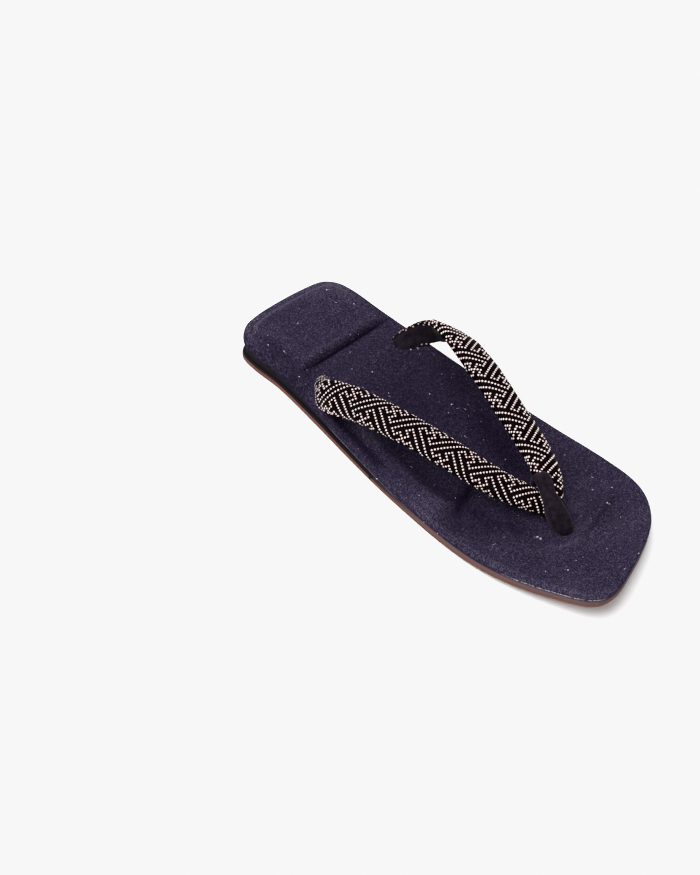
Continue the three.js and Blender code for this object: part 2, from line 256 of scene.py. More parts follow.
def finish_piece(made, name, materials, replaced=(), attributes=None):
    """A bmesh as a smooth object that rides on the sandal's one body."""
    mesh = bpy.data.meshes.new(name)
    made.to_mesh(mesh)
    made.free()
    mesh.polygons.foreach_set("use_smooth", [True] * len(mesh.polygons))
    for label, values in (attributes or {}).items():
        layer = mesh.attributes.new(label, "FLOAT", "POINT")
        layer.data.foreach_set("value", np.asarray(values, np.float32))
    for material in materials:
        mesh.materials.append(material)
    piece = bpy.data.objects.new(name, mesh)
    bpy.context.scene.collection.objects.link(piece)
    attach(piece, "root")
    if replaced:
        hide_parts(*replaced)
    mesh.calc_loop_triangles()
    print(name, len(mesh.loop_triangles), "triangles")
    return piece


# %% [markdown]
# ## Heights of the layers
# The sole lies flat from heel to ball and lifts towards the toe. The wedge raises the heel, and the
# footbed is thickest there. These short formulas give each layer's height at a place along the foot.

# %% Layer heights
GAP = 0.3
OUTSOLE_THICK = 4.2
TOE_SPRING = 13.5
SPRING_START = 162
HEEL_LIFT = 5.8
LIFT_END = 140
HEEL_THICK = 10
FORE_THICK = 5.8
TOE_THICK = 4.4
FORE_FROM, FORE_FULL = 30, 125
TOE_FROM = 190


def spring(along):
    return TOE_SPRING * (np.maximum(0, along - SPRING_START) / (LENGTH - SPRING_START)) ** 2


def footbed_base(along):
    lift = HEEL_LIFT * np.maximum(0, 1 - along / LIFT_END)
    return spring(along) + OUTSOLE_THICK + GAP + lift


def footbed_thick(along):
    fore = (HEEL_THICK - FORE_THICK) * smoothstep(along, FORE_FROM, FORE_FULL)
    return HEEL_THICK - fore - (FORE_THICK - TOE_THICK) * smoothstep(along, TOE_FROM, LENGTH)


ends = np.array([0, LENGTH])
print("footbed from", footbed_base(ends), "thick", footbed_thick(ends), "at heel and toe")

# %% [markdown]
# ## Shader maths as plain sums
# A material is a sum of small ideas: streaks plus specks, less in the hollows. This class wraps one output
# of a node, so that such sums can be written as they are said, and each sum adds its own node.

# %% Node wires
class Wire:
    """One output of a node in a material. Arithmetic on it adds Math nodes."""

    def __init__(self, tree, socket=None):
        self.tree = tree
        self.socket = socket

    def add(self, kind, settings=None, sockets=None, output=0):
        """A new node: its settings, then its sockets. Gives one of its outputs."""
        node = self.tree.nodes.new(kind)
        for name, value in (settings or {}).items():
            setattr(node, name, value)
        for name, value in (sockets or {}).items():
            self.feed(node.inputs[name], value)
        return Wire(self.tree, node.outputs[output])

    def feed(self, entry, value):
        if isinstance(value, Wire):
            self.tree.links.new(value.socket, entry)
        else:
            entry.default_value = value

    def math(self, operation, *values):
        return self.add("ShaderNodeMath", {"operation": operation}, dict(enumerate(values)))

    def mix(self, share, first, second):
        """A colour between two colours."""
        return self.add("ShaderNodeMix", {"data_type": "RGBA"}, {0: share, 6: first, 7: second}, 2)

    def between(self, low, high):
        """0 below low, 1 above high, and smooth between them."""
        settings = {"interpolation_type": "SMOOTHSTEP"}
        return self.add("ShaderNodeMapRange", settings, {"Value": self, "From Min": low, "From Max": high})

    def __add__(self, other):
        return self.math("ADD", self, other)

    def __sub__(self, other):
        return self.math("SUBTRACT", self, other)

    def __rsub__(self, other):
        return self.math("SUBTRACT", other, self)

    def __mul__(self, other):
        return self.math("MULTIPLY", self, other)

    __radd__ = __add__
    __rmul__ = __mul__


# %% [markdown]
# ### What every finish starts from
# A finish is a Principled shader whose constants are set once. Its patterns are noise on the object's own
# coordinates, stretched to a pitch in millimetres, and values that the mesh carries. Image textures would
# need a map, and would blur up close.

# %% Finish helpers
NOISE_MIDDLE = 0.5


def new_finish(name, **constants):
    """A material with its constant sockets set. Gives it with a wire to start from and its shader."""
    material = bpy.data.materials.new(name)
    material.use_nodes = True
    shader = material.node_tree.nodes["Principled BSDF"]
    for label, value in constants.items():
        shader.inputs[label.replace("_", " ")].default_value = value
    return material, Wire(material.node_tree), shader


def object_place(wire):
    return wire.add("ShaderNodeTexCoord", output="Object")


def part_of(wire, place, axis):
    """One coordinate of a place: X, Y or Z."""
    return wire.add("ShaderNodeSeparateXYZ", {}, {0: place}, axis)


def carried(wire, label):
    """A value that the mesh carries as an attribute."""
    return wire.add("ShaderNodeAttribute", {"attribute_name": label}, output="Fac")


def noise(wire, place, pitch, detail=2.0):
    """Noise whose lumps are about as large as the pitch, in millimetres along X, Y and Z."""
    scale = [1 / (size * MM) for size in pitch]
    mapped = wire.add("ShaderNodeMapping", {}, {"Vector": place, "Scale": scale})
    return wire.add("ShaderNodeTexNoise", {}, {"Vector": mapped, "Scale": 1.0, "Detail": detail})


def bump(wire, height, depth):
    """A bumped normal. Depth is in millimetres for a height of 1."""
    return wire.add("ShaderNodeBump", {}, {"Height": height, "Distance": depth * MM, "Strength": 1.0})


def made_finish(material):
    """Prints how many nodes a finished material has, and gives it on."""
    print(material.name, len(material.node_tree.nodes), "nodes")
    return material


# %% [markdown]
# ## The sole
# The bottom is one brown sheet with a rounded side. Its edge is two-coloured: the bare orange-brown cut
# below, and a dressed upper part. That is mauve-grey round the toe and black under the wedge; beyond the
# wedge the black fades to mauve towards the ball, as a painted shadow under the cloth's edge. A fine
# groove parts the two, and a dark joint crosses the inner side where the wedge runs out. The colours follow
# the height on the edge, which the mesh carries as an attribute.

# %% Sole finish
SOLE_BROWN = (0.076, 0.032, 0.025, 1)
SOLE_RED = (0.092, 0.037, 0.026, 1)
SOLE_MAUVE = (0.061, 0.038, 0.041, 1)
SOLE_BLACK = (0.003, 0.002, 0.003, 1)
SOLE_CLOUD, SOLE_CLOUD_BAND = (14, 14, 6), (0.35, 0.7)
SOLE_GRAIN, SOLE_GRAIN_DEEP = (0.5, 0.5, 0.4), 0.08
SOLE_ROUGH = {"bare": 0.62, "dressed": 0.12, "grain": 0.2}
DRESSED_FROM, DRESSED_FULL = 0.48, 0.60
DRESSED_LIFT = 0.26
DRESSED_WAVE = 0.12
# Places that a shader compares are in metres, as Object coordinates are.
BLACK_END = 0.123 - MM * LENGTH / 2
# Beyond the wedge's end the black fades to mauve: a painted shadow under the cloth's edge.
SHADOW_FADE, SHADOW_FADE_SHARE = 0.045, 0.85
BLACK_STEP, BLACK_STEP_SHARE = 0.001, 0.15
DRESSED_ARCH = {"from": -0.050, "to": 0.0, "drop": 0.10}
DRESSED_TOE = {"from": 0.070, "to": 0.110, "drop": 0.16}
JOINT_AT = 0.1215 - MM * LENGTH / 2
JOINT_CORE, JOINT_SOFT = 0.0004, 0.0012
JOINT_FROM, JOINT_FULL = 0.030, 0.035


def sole_finish():
    material, wire, shader = new_finish("sole_rubber", Specular_IOR_Level=0.04)
    place = object_place(wire)
    rise = carried(wire, "rise")
    along = part_of(wire, place, "Y")
    cloud = noise(wire, place, SOLE_CLOUD)
    grain = noise(wire, place, SOLE_GRAIN, detail=4.0)
    brown = wire.mix(cloud.between(*SOLE_CLOUD_BAND), SOLE_BROWN, SOLE_RED)
    # Black under the wedge, then a painted shadow that fades out towards the ball.
    faded = along.between(BLACK_END, BLACK_END + SHADOW_FADE) * SHADOW_FADE_SHARE
    faded = faded + along.between(BLACK_END, BLACK_END + BLACK_STEP) * BLACK_STEP_SHARE
    upper = wire.mix(faded, SOLE_BLACK, SOLE_MAUVE)
    raised = DRESSED_LIFT
    for stretch in (DRESSED_ARCH, DRESSED_TOE):
        raised = raised - along.between(stretch["from"], stretch["to"]) * stretch["drop"]
    waved = rise + (cloud - NOISE_MIDDLE) * DRESSED_WAVE
    dressed = (waved - raised).between(DRESSED_FROM, DRESSED_FULL)
    inner = part_of(wire, place, "X").between(JOINT_FROM, JOINT_FULL)
    joint = (1 - wire.math("ABSOLUTE", along - JOINT_AT).between(JOINT_CORE, JOINT_SOFT)) * inner
    wire.feed(shader.inputs["Base Color"], wire.mix(joint, wire.mix(dressed, brown, upper), SOLE_BLACK))
    rough = SOLE_ROUGH["bare"] - dressed * SOLE_ROUGH["dressed"]
    rough = rough + (grain - NOISE_MIDDLE) * SOLE_ROUGH["grain"]
    wire.feed(shader.inputs["Roughness"], rough)
    wire.feed(shader.inputs["Normal"], bump(wire, grain, SOLE_GRAIN_DEEP))
    return material


sole_rubber = made_finish(sole_finish())

# %% [markdown]
# ### The sole's slab
# The cut edge is nearly upright, rounded at both lips, with a fine groove pressed round it. A bevel would
# round the lips but leave the groove out. So the wall's rows follow a short side curve, and the rise on
# that curve goes to the finish as an attribute.

# %% Sole
OUTSOLE_SIDE = (  # inset, share of the thickness
    (1.0, 0), (0.25, 0.16), (0.02, 0.36), (0.16, 0.5), (0.24, 0.53), (0.06, 0.57), (0, 0.68), (0.22, 0.84),
    (0.9, 1),
)
SOLE_COLUMNS, SOLE_ROWS = 64, 180

sole_mesh, at = edged_slab(OUTSOLE_SIDE, SOLE_COLUMNS, SOLE_ROWS)
height = spring(at["along"]) + OUTSOLE_THICK * at["rise"]
place_vertices(sole_mesh, np.stack([at["x"], at["along"] - LENGTH / 2, height], 1))
finish_piece(sole_mesh, "sole", [sole_rubber], ["outsole"], {"rise": at["rise"]})

# %% [markdown]
# ## The heel wedge
# A black lift fills the gap between sole and footbed and tapers to nothing at the arch. Its solid already
# has the right shape, so it stays, with a dull, slightly pitted black.

# %% Wedge finish
WEDGE_BLACK = (0.0032, 0.0026, 0.0032, 1)
WEDGE_GREY = (0.0075, 0.0062, 0.0075, 1)
WEDGE_PITS, WEDGE_PITS_DEEP = (0.7, 0.7, 0.7), 0.15
WEDGE_CLOUD = (9, 9, 4)
WEDGE_ROUGH, WEDGE_PITS_ROUGH = 0.7, 0.2


def wedge_finish():
    material, wire, shader = new_finish("wedge_black", Specular_IOR_Level=0.03)
    place = object_place(wire)
    pits = noise(wire, place, WEDGE_PITS, detail=3.0)
    cloud = noise(wire, place, WEDGE_CLOUD)
    wire.feed(shader.inputs["Base Color"], wire.mix(cloud, WEDGE_BLACK, WEDGE_GREY))
    wire.feed(shader.inputs["Roughness"], WEDGE_ROUGH + pits * WEDGE_PITS_ROUGH)
    wire.feed(shader.inputs["Normal"], bump(wire, pits, WEDGE_PITS_DEEP))
    return material


wedge_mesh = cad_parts["heel_wedge"].data
wedge_mesh.materials.clear()
wedge_mesh.materials.append(made_finish(wedge_finish()))
print("wedge keeps its solid")

# %% [markdown]
# ## The footbed's relief
# Under the cloth lie a board and pads. At the heel a thin pad stands up inside the edge, with a pressed
# crease along its front. On the inner side a cushion lifts the arch, with a trough close to the edge, and
# ends in a step before the ball. The ball has worn a shallow dish, a low crest arches before the toes, and
# the cloth dips at the thong. Sculpting could give all this, but short formulas can be measured and moved.

# %% Footbed relief
HEEL_PAD = {"front": 48.0, "slant": 0.056, "rise": 2.3, "inset": 4.5, "shoulder": 6.5, "slope": 4.0}
HEEL_CREASE = {"depth": 1.4, "gap": 1.6, "wide": 1.2, "x": 2.3, "full": 17, "half": 38}
ARCH = {"rise": 2.4, "near": 9, "far": 21, "from": 72, "full": 112, "ease": 163, "end": 174}
BALL_HOLLOW = {"depth": 1.0, "x": 34, "along": 178, "wide": 13, "long": 8}
ARCH_TROUGH = {"depth": 1.2, "wide": 2.7, "x": 41.2, "slant": 0.095, "along": 80, "end": 131,
               "ease_in": 12, "ease_out": 10}
DISH = {"depth": 1.4, "x": -2.6, "along": 188, "wide": 36, "long": 26}
TOE_CREST = {"rise": 1.2, "x": 5.4, "along": 229, "lateral": 0.012, "medial": 0.022, "wide": 4.2}
TOE_RIDGE = {"rise": 0.8, "x": -11, "along": 222, "slant": 0.34, "wide": 4.5, "long": 16}
DIMPLE = {"depth": 1.2, "wide": 9, "x": 5.3, "along": 217.2}


def medial_edge(along):
    return np.interp(along, [row[0] for row in OUTLINE], [row[2] for row in OUTLINE])


def arch_rise(x, along):
    from_edge = medial_edge(along) - x
    onset = smoothstep(along, ARCH["from"], ARCH["full"])
    lengthwise = onset - smoothstep(along, ARCH["ease"], ARCH["end"])
    return ARCH["rise"] * lengthwise * (1 - smoothstep(from_edge, ARCH["near"], ARCH["far"]))


def arch_trough(x, along):
    trough = ARCH_TROUGH
    middle = trough["x"] + trough["slant"] * (along - trough["along"])
    onset = smoothstep(along, trough["along"] - trough["ease_in"], trough["along"])
    lengthwise = onset * (1 - smoothstep(along, trough["end"] - trough["ease_out"], trough["end"]))
    return trough["depth"] * lengthwise * hill(x - middle, trough["wide"])


def toe_crest(x, along):
    aside = x - TOE_CREST["x"]
    bend = np.where(aside < 0, TOE_CREST["lateral"], TOE_CREST["medial"])
    crest = TOE_CREST["rise"] * hill(along - TOE_CREST["along"] + bend * aside**2, TOE_CREST["wide"])
    ahead = along - TOE_RIDGE["along"]
    across = x - TOE_RIDGE["x"] - TOE_RIDGE["slant"] * ahead
    return crest + TOE_RIDGE["rise"] * hill(across, TOE_RIDGE["wide"]) * hill(ahead, TOE_RIDGE["long"])


print("arch rises", ARCH["rise"], "mm and the ball's dish is", DISH["depth"], "mm deep")


# %% Heel pad and whole relief
def crease_gap(x, along):
    """How far places lie ahead of the bottom of the heel's crease."""
    return along - HEEL_PAD["front"] - HEEL_PAD["slant"] * x - HEEL_CREASE["gap"]


def crease_share(x):
    """How deep the crease is pressed: fully in the middle, not at its ends."""
    return 1 - smoothstep(np.abs(x - HEEL_CREASE["x"]), HEEL_CREASE["full"], HEEL_CREASE["half"])


def heel_pad(x, along, from_edge):
    gap = crease_gap(x, along)
    beyond = gap + HEEL_CREASE["gap"]
    half_slope = HEEL_PAD["slope"] / 2
    inside = smoothstep(from_edge, HEEL_PAD["inset"], HEEL_PAD["inset"] + HEEL_PAD["shoulder"])
    pad = HEEL_PAD["rise"] * inside * (1 - smoothstep(beyond, -half_slope, half_slope))
    return pad - HEEL_CREASE["depth"] * crease_share(x) * hill(gap, HEEL_CREASE["wide"])


def relief(x, along, from_edge):
    dish = DISH["depth"] * hill(x - DISH["x"], DISH["wide"]) * hill(along - DISH["along"], DISH["long"])
    dimple = DIMPLE["depth"] * hill(np.hypot(x - DIMPLE["x"], along - DIMPLE["along"]), DIMPLE["wide"])
    hollow = hill(x - BALL_HOLLOW["x"], BALL_HOLLOW["wide"])
    hollow = BALL_HOLLOW["depth"] * hollow * hill(along - BALL_HOLLOW["along"], BALL_HOLLOW["long"])
    soft = arch_rise(x, along) - arch_trough(x, along) - hollow - dish + toe_crest(x, along) - dimple
    return soft + heel_pad(x, along, from_edge)


print("heel pad", HEEL_PAD["rise"], "mm high, its crease", HEEL_CREASE["depth"], "mm deep")

# %% [markdown]
# ### Strap holes
# The two tails and the thong pass through the board, and the cloth is tucked down round them. A boolean
# would leave a sharp rim, so the top is lowered softly to the bottom of each hole instead.

# %% Strap holes
HOLES = (  # x, along, half width in x, half width along, height of the bottom
    (-24.2, 66.6, 4.4, 4.6, 9.3),
    (29.4, 67.4, 4.4, 4.6, 9.3),
    (5.2, 216.2, 3.2, 3.2, 10.9),
)
HOLE_SOFTNESS = 0.3


def with_holes(x, along, height):
    """The top's height, cut down to the bottom of each hole."""
    for hole_x, hole_along, half_x, half_along, bottom in HOLES:
        reach = np.hypot((x - hole_x) / half_x, (along - hole_along) / half_along)
        inside = 1 - smoothstep(reach, 1 - HOLE_SOFTNESS, 1)
        height = height + (bottom - height) * inside
    return height


print(len(HOLES), "strap holes")

# %% [markdown]
# ## The cloth
# The cover is a plain weave of uneven indigo yarn, so warp and weft take turns on top and every crossing
# has its own tone, from nearly black to a blue or violet grey. A few yarns are thick for a longer stretch.
# The cloth is darkened with painted shade in the creases, under and beside the straps and in the step of the
# arch. On ridges, along the edge and on the lit parts of the heel pad more pale flecks show, partly from
# real rubbing and partly as painted light. Where the cloth is cut at the bottom of the toe it frays to a
# thin pale line, and a fainter hem shows along the arch. All of it follows the foot's own X and Y, as the
# weave does, so
# Object coordinates are enough and no map has to be unwrapped.

# %% Cloth colours
CLOTH_DARK = (0.0058, 0.0038, 0.0115, 1)
CLOTH_MIDDLE = (0.0185, 0.0138, 0.0275, 1)
CLOTH_BLUE = (0.046, 0.042, 0.066, 1)
CLOTH_VIOLET = (0.060, 0.048, 0.070, 1)
# The next two are the colours of the painted shade, mixed in where the straps and the relief would shade the
# cloth.
CLOTH_SHADE_BLACK = (0.0010, 0.0004, 0.0022, 1)
CLOTH_IN_SHADE = (0.0078, 0.0042, 0.0126, 1)
CLOTH_FRAY = (0.42, 0.38, 0.43, 1)
THREAD_PITCH = 0.62
print("threads", THREAD_PITCH, "mm apart")

# %% Weave and hem
FRAY_FROM, FRAY_FULL = 0.078, 0.096
FRAY_INNER, FRAY_OUTER = 0.026, 0.031
FRAY_LOW, FRAY_HIGH = (0.08, 0.13), (0.20, 0.30)
FRAY_PITCH, FRAY_BAND = (1.3, 1.3, 0.5), (0.44, 0.54)
HEM_FROM, HEM_END = -0.052, 0.012
HEM_EASE_IN, HEM_EASE_OUT = 0.012, 0.006
HEM_LOW, HEM_HIGH = (0.09, 0.12), (0.17, 0.24)
HEM_SHARE = 0.24
# Width of the painted shade line at the bottom of the heel's crease, in millimetres.
CREASE_CORE, CREASE_SOFT = 0.2, 1.1


def weave(wire, place):
    """Plain weave. Gives where the warp lies on top, and the height of the upper thread."""
    turn = math.pi / (THREAD_PITCH * MM)
    x_wave = wire.math("SINE", part_of(wire, place, "X") * turn)
    y_wave = wire.math("SINE", part_of(wire, place, "Y") * turn)
    warp_on_top = wire.math("GREATER_THAN", x_wave * y_wave, 0)
    warp = wire.math("ABSOLUTE", x_wave)
    weft = wire.math("ABSOLUTE", y_wave)
    return warp_on_top, warp_on_top * warp + (1 - warp_on_top) * weft


def cut_edge(wire, place, rise, along):
    """The pale line where the cloth ends: frayed at the toe, a faint hem along the arch."""
    inner = part_of(wire, place, "X").between(FRAY_INNER, FRAY_OUTER)
    cut = rise.between(*FRAY_LOW) * (1 - rise.between(*FRAY_HIGH))
    broken = noise(wire, place, FRAY_PITCH, detail=3.0).between(*FRAY_BAND)
    fray = cut * along.between(FRAY_FROM, FRAY_FULL) * inner * broken
    hem = rise.between(*HEM_LOW) * (1 - rise.between(*HEM_HIGH)) * inner
    hem = hem * along.between(HEM_FROM, HEM_FROM + HEM_EASE_IN)
    hem = hem * (1 - along.between(HEM_END - HEM_EASE_OUT, HEM_END))
    return fray + hem * HEM_SHARE


def painted_shade_wire(wire):
    """How much painted shade shows: in the shaded places, and as a dark line at the bottom of the heel's
    crease.
    """
    bottom = wire.math("ABSOLUTE", carried(wire, "crease_gap")).between(CREASE_CORE, CREASE_SOFT)
    line = (1 - bottom) * carried(wire, "crease_share")
    return 1 - (1 - carried(wire, "painted_shade")) * (1 - line)


# %% Cloth finish
WEAR_FROM, WEAR_FULL = 0.0, 0.03
WEAR_AND_LIGHT_SHARE = 0.07
EDGE_SHARE = 0.5
EDGE_LOW, EDGE_HIGH = (0.15, 0.5), (0.9, 0.99)
WARP, WEFT = (0.42, 1.7, 1.7), (1.7, 0.42, 1.7)
PEPPER = (0.45, 0.45, 0.45)
SLUBS, SLUB_BAND = ((0.7, 12, 12), (12, 0.7, 12)), (0.60, 0.74)
CLOTH_CLOUD = (20, 30, 20)
TONE = {"yarn": 0.5, "pepper": 0.5, "slub": 0.05, "cloud": 0.10, "band": (0.38, 0.62)}
FLECK = {"yarn": 0.6, "pepper": 0.4, "slub": 0.03, "band": (0.54, 0.64)}
VIOLET, VIOLET_BAND, VIOLET_EDGE = (1.1, 1.1, 1.1), (0.35, 0.65), 0.4
SHADE_TONE = 0.5
CLOTH_ROUGH, YARN_ROUGH = 0.86, 0.2
CLOTH_DEPTH = {"thread": 0.3, "slub": 0.3, "all": 0.16}


def cloth_finish():
    material, wire, shader = new_finish("indigo_cloth", Specular_IOR_Level=0.0)
    place = object_place(wire)
    rise = carried(wire, "rise")
    along = part_of(wire, place, "Y")
    edge = rise.between(*EDGE_LOW) * (1 - rise.between(*EDGE_HIGH)) * along.between(WEAR_FROM, WEAR_FULL)
    # Pale flecks from rubbing and from painted light on ridges and lit places; the rolled edge adds real
    # wear.
    wear_and_light = (carried(wire, "worn_and_lit") + edge * EDGE_SHARE) * WEAR_AND_LIGHT_SHARE
    warp_on_top, thread = weave(wire, place)
    yarn = warp_on_top * noise(wire, place, WARP) + (1 - warp_on_top) * noise(wire, place, WEFT)
    pepper = noise(wire, place, PEPPER, detail=1.0)
    slub_warp, slub_weft = (noise(wire, place, pitch).between(*SLUB_BAND) for pitch in SLUBS)
    slub = slub_warp + slub_weft
    cloud = (noise(wire, place, CLOTH_CLOUD) - NOISE_MIDDLE) * TONE["cloud"]
    tone = yarn * TONE["yarn"] + pepper * TONE["pepper"] + slub * TONE["slub"] + cloud + wear_and_light
    tone = tone.between(*TONE["band"])
    fleck = yarn * FLECK["yarn"] + pepper * FLECK["pepper"] + slub * FLECK["slub"] + wear_and_light
    fleck = fleck.between(*FLECK["band"])
    violet = noise(wire, place, VIOLET).between(*VIOLET_BAND) * (1 - edge * VIOLET_EDGE)
    light = wire.mix(violet, CLOTH_BLUE, CLOTH_VIOLET)
    rubbed_and_lit = wire.mix(fleck, wire.mix(tone, CLOTH_DARK, CLOTH_MIDDLE), light)
    # Painted shade: the cloth turns darker where the mesh's shade attribute and the heel's crease line say
    # so.
    in_shade = wire.mix((tone + fleck) * SHADE_TONE, CLOTH_SHADE_BLACK, CLOTH_IN_SHADE)
    cloth = wire.mix(painted_shade_wire(wire), rubbed_and_lit, in_shade)
    pale = cut_edge(wire, place, rise, along)
    wire.feed(shader.inputs["Base Color"], wire.mix(pale, cloth, CLOTH_FRAY))
    wire.feed(shader.inputs["Roughness"], CLOTH_ROUGH + (yarn - NOISE_MIDDLE) * YARN_ROUGH)
    raised = thread * CLOTH_DEPTH["thread"] + yarn + slub * CLOTH_DEPTH["slub"]
    wire.feed(shader.inputs["Normal"], bump(wire, raised, CLOTH_DEPTH["all"]))
    return material


indigo_cloth = made_finish(cloth_finish())

# %% [markdown]
# ### Painted shade on the cloth
# The cloth is darkened with painted shade where the straps and the relief would shade it: on the instep
# between the arms, beside the inner arm, in the step and the trough of the arch, at the front of the heel
# pad and in a thin crease before the toes. This could be painted by hand. Here soft spots and lines are
# given in the foot's own millimetres, so each can be read and moved. Every one takes its share of what is
# left, so that overlaps never pass the full shade.

# %% Shaded places
STRAP_MIDDLE = 2.3
# Painted shade on the instep between the arms.
INSTEP_SHADE = {"share": 0.46, "from": 36, "full": 92, "ease": 165, "end": 205, "soft": 8}
STRAP_LINE = ((30, 37), (90, 33), (130, 25), (150, 22), (205, 9))
SHADES = (  # share, x, along, half width, half length, slant
    (0.62, 28, 178, 8, 10, 0.0), (0.70, -15, 152, 9, 42, 0.32), (0.34, -18, 216, 14, 12, 0.0),
    (0.44, 20, 204, 7, 8, 0.0), (0.56, -31, 99, 7, 22, 0.1), (0.35, 51, 93, 4, 12, 0.0),
    (0.22, 43, 135, 7, 15, 0.0), (0.55, 44, 53, 8, 15, 0.1), (0.28, 42, 186, 10, 10, 0.0),
    (0.48, 30, 190, 8, 8, 0.0), (0.35, 44, 176, 7, 8, 0.0), (0.24, 29, 219, 15, 7, 0.0),
    (0.22, -36, 190, 10, 13, 0.0), (0.25, 1, 101, 7, 9, 0.0), (0.50, 22, 196, 7, 10, 0.3),
    (0.16, 38, 32, 8, 8, 0.0), (0.12, 18, 235, 18, 6, 0.0), (0.10, 8, 59, 20, 5, 0.0),
    (0.35, 35, 30, 2.5, 18, 0.0), (0.35, 30, 55, 6, 4, 0.0),
)
ARM_SHADE = (  # along, x of the shade's edge, share
    (96, 33.5, 0.0), (110, 36, 0.25), (125, 37, 0.42), (140, 38.6, 0.62), (155, 38.6, 0.70),
    (164, 36.5, 0.66), (170, 33, 0.0),
)
ARM_SHADE_FROM, ARM_SHADE_FULL, ARM_SHADE_SOFT = -16, -5, 2.5
STEP_SHADE = {"share": 0.88, "x": 19, "along": 164, "slant": 0.42, "wide": 3.9}
STEP_RANGE = (15, 22, 34, 45)
MEDIAL_GAP = 8
# Painted shade along a thin crease before the toes.
TOE_CREASE_SHADE = (  # x, along, share
    (-38, 215.5, 0), (-30, 217.5, 0.35), (-20, 220.8, 0.45), (-8, 225, 0.45), (2, 227.3, 0.3),
    (8, 228.5, 0),
)
TOE_CREASE_SHADE_WIDE = 1.3
TROUGH_SHADE = 0.85
SLOPE_SHADE = {"share": 0.55, "ahead": 0.3, "wide": 2.1}
print(len(SHADES), "shaded spots")


# %% Painted shade
def thin_line(rows, x, along, wide):
    """A soft thin line across the foot, through the rows, with a share at each."""
    places, line, shares = np.array(rows, float).T
    return np.interp(x, places, shares) * hill(along - np.interp(x, places, line), wide)


def beside_arm(x, along):
    """The shade beside the inner arm, up to the arch's ridge."""
    places, edges, shares = np.array(ARM_SHADE, float).T
    beyond = x - np.interp(along, places, edges)
    across = smoothstep(beyond, ARM_SHADE_FROM, ARM_SHADE_FULL)
    across = across * (1 - smoothstep(beyond, -ARM_SHADE_SOFT, ARM_SHADE_SOFT))
    return np.interp(along, places, shares) * across


def at_step(x, along):
    """Painted shade in the crease where the arch's cushion steps down to the ball."""
    start, full, ease, end = STEP_RANGE
    ahead = along - STEP_SHADE["along"] - STEP_SHADE["slant"] * (x - STEP_SHADE["x"])
    across = smoothstep(x, start, full) * (1 - smoothstep(x, ease, end))
    return STEP_SHADE["share"] * across * hill(ahead, STEP_SHADE["wide"])


def instep_shade(x, along):
    """Painted shade on the instep between the arms, a little narrower on the inner side."""
    half = np.interp(along, *np.array(STRAP_LINE, float).T)
    lengthwise = smoothstep(along, INSTEP_SHADE["from"], INSTEP_SHADE["full"])
    lengthwise = lengthwise * (1 - smoothstep(along, INSTEP_SHADE["ease"], INSTEP_SHADE["end"]))
    aside = np.where(x > STRAP_MIDDLE, x - STRAP_MIDDLE + MEDIAL_GAP, STRAP_MIDDLE - x)
    across = 1 - smoothstep(aside, half - INSTEP_SHADE["soft"], half + INSTEP_SHADE["soft"])
    return INSTEP_SHADE["share"] * lengthwise * across


def painted_shade(x, along):
    """How much painted shade darkens places of the cloth, from 0 to 1."""
    shaded = 1.0
    for share, shade_x, shade_along, wide, long, slant in SHADES:
        ahead = along - shade_along
        shaded = shaded * (1 - share * hill(x - shade_x - slant * ahead, wide) * hill(ahead, long))
    trough = TROUGH_SHADE * arch_trough(x, along) / ARCH_TROUGH["depth"]
    beyond = crease_gap(x, along) - SLOPE_SHADE["ahead"]
    slope = SLOPE_SHADE["share"] * crease_share(x) * hill(beyond, SLOPE_SHADE["wide"])
    shaded = shaded * (1 - beside_arm(x, along)) * (1 - at_step(x, along))
    shaded = shaded * (1 - thin_line(TOE_CREASE_SHADE, x, along, TOE_CREASE_SHADE_WIDE))
    return 1 - (1 - instep_shade(x, along)) * shaded * (1 - trough) * (1 - slope)


# %% [markdown]
# ### Where the cloth is rubbed or lit
# High places show more pale flecks, partly from rubbing and partly as painted light: the ridge of the arch,
# the crest before the toes, and spots beside the straps that would lie in their shadow. The rim and the
# front of the heel pad and the fold where the cloth turns over the back of the heel get a painted highlight.
# They are given in the same way as the painted shade, but added up, because more of either only bares more
# pale flecks.

# %% Rubbed and lit ridges
# Spots lightened partly by rubbing and partly as painted light where the straps would shade the cloth.
WEARS_AND_LIGHTS = (  # share, x, along, half width, half length
    (0.45, 43, 160, 9, 9), (1.0, 37, 104, 4, 10), (0.8, -25, 17, 9, 15), (0.5, -8, 13, 8, 7),
    (0.5, -10, 205, 5, 6), (0.4, 0, 221, 5, 5), (0.35, -22, 236, 16, 6), (0.4, 36, 250, 8, 6),
    (0.35, 29, 28, 4, 18),
)
# Thin pale lines before the toes: rubbing and painted light on the ridges.
TOE_RUB_AND_LIGHT = (  # x, along, share
    (2, 226.2, 0), (6, 226.6, 0.9), (14, 226.4, 1.0), (18, 223.5, 0.9), (22, 219.5, 0.6), (27, 214.5, 0),
)
TOE_RUB_AND_LIGHT_WIDE = 1.2
CREST_WEAR_AND_LIGHT = {"share": 0.05, "inner": 0.15, "from": 0, "full": 12, "ease": 28, "end": 38}
PAD_HIGHLIGHT = {"share": 0.3, "inset": 8.5, "wide": 2.4, "behind": 3, "ease": 12, "end": 28}
FOLD_HIGHLIGHT = {"share": 1.4, "inset": 6.6, "wide": 1.0, "outside": 0.8, "from": 2, "ease": 8, "end": 24}


def crest_wear_and_light(x, along):
    """The crest before the toes, lighter most beside the thong: partly rubbed, partly painted light."""
    crest = np.clip(toe_crest(x, along) / TOE_CREST["rise"], 0, 1)
    inner = smoothstep(x, CREST_WEAR_AND_LIGHT["from"], CREST_WEAR_AND_LIGHT["full"])
    inner = CREST_WEAR_AND_LIGHT["inner"] * inner * (1 - smoothstep(x, CREST_WEAR_AND_LIGHT["ease"], CREST_WEAR_AND_LIGHT["end"]))
    return crest * (CREST_WEAR_AND_LIGHT["share"] + inner)


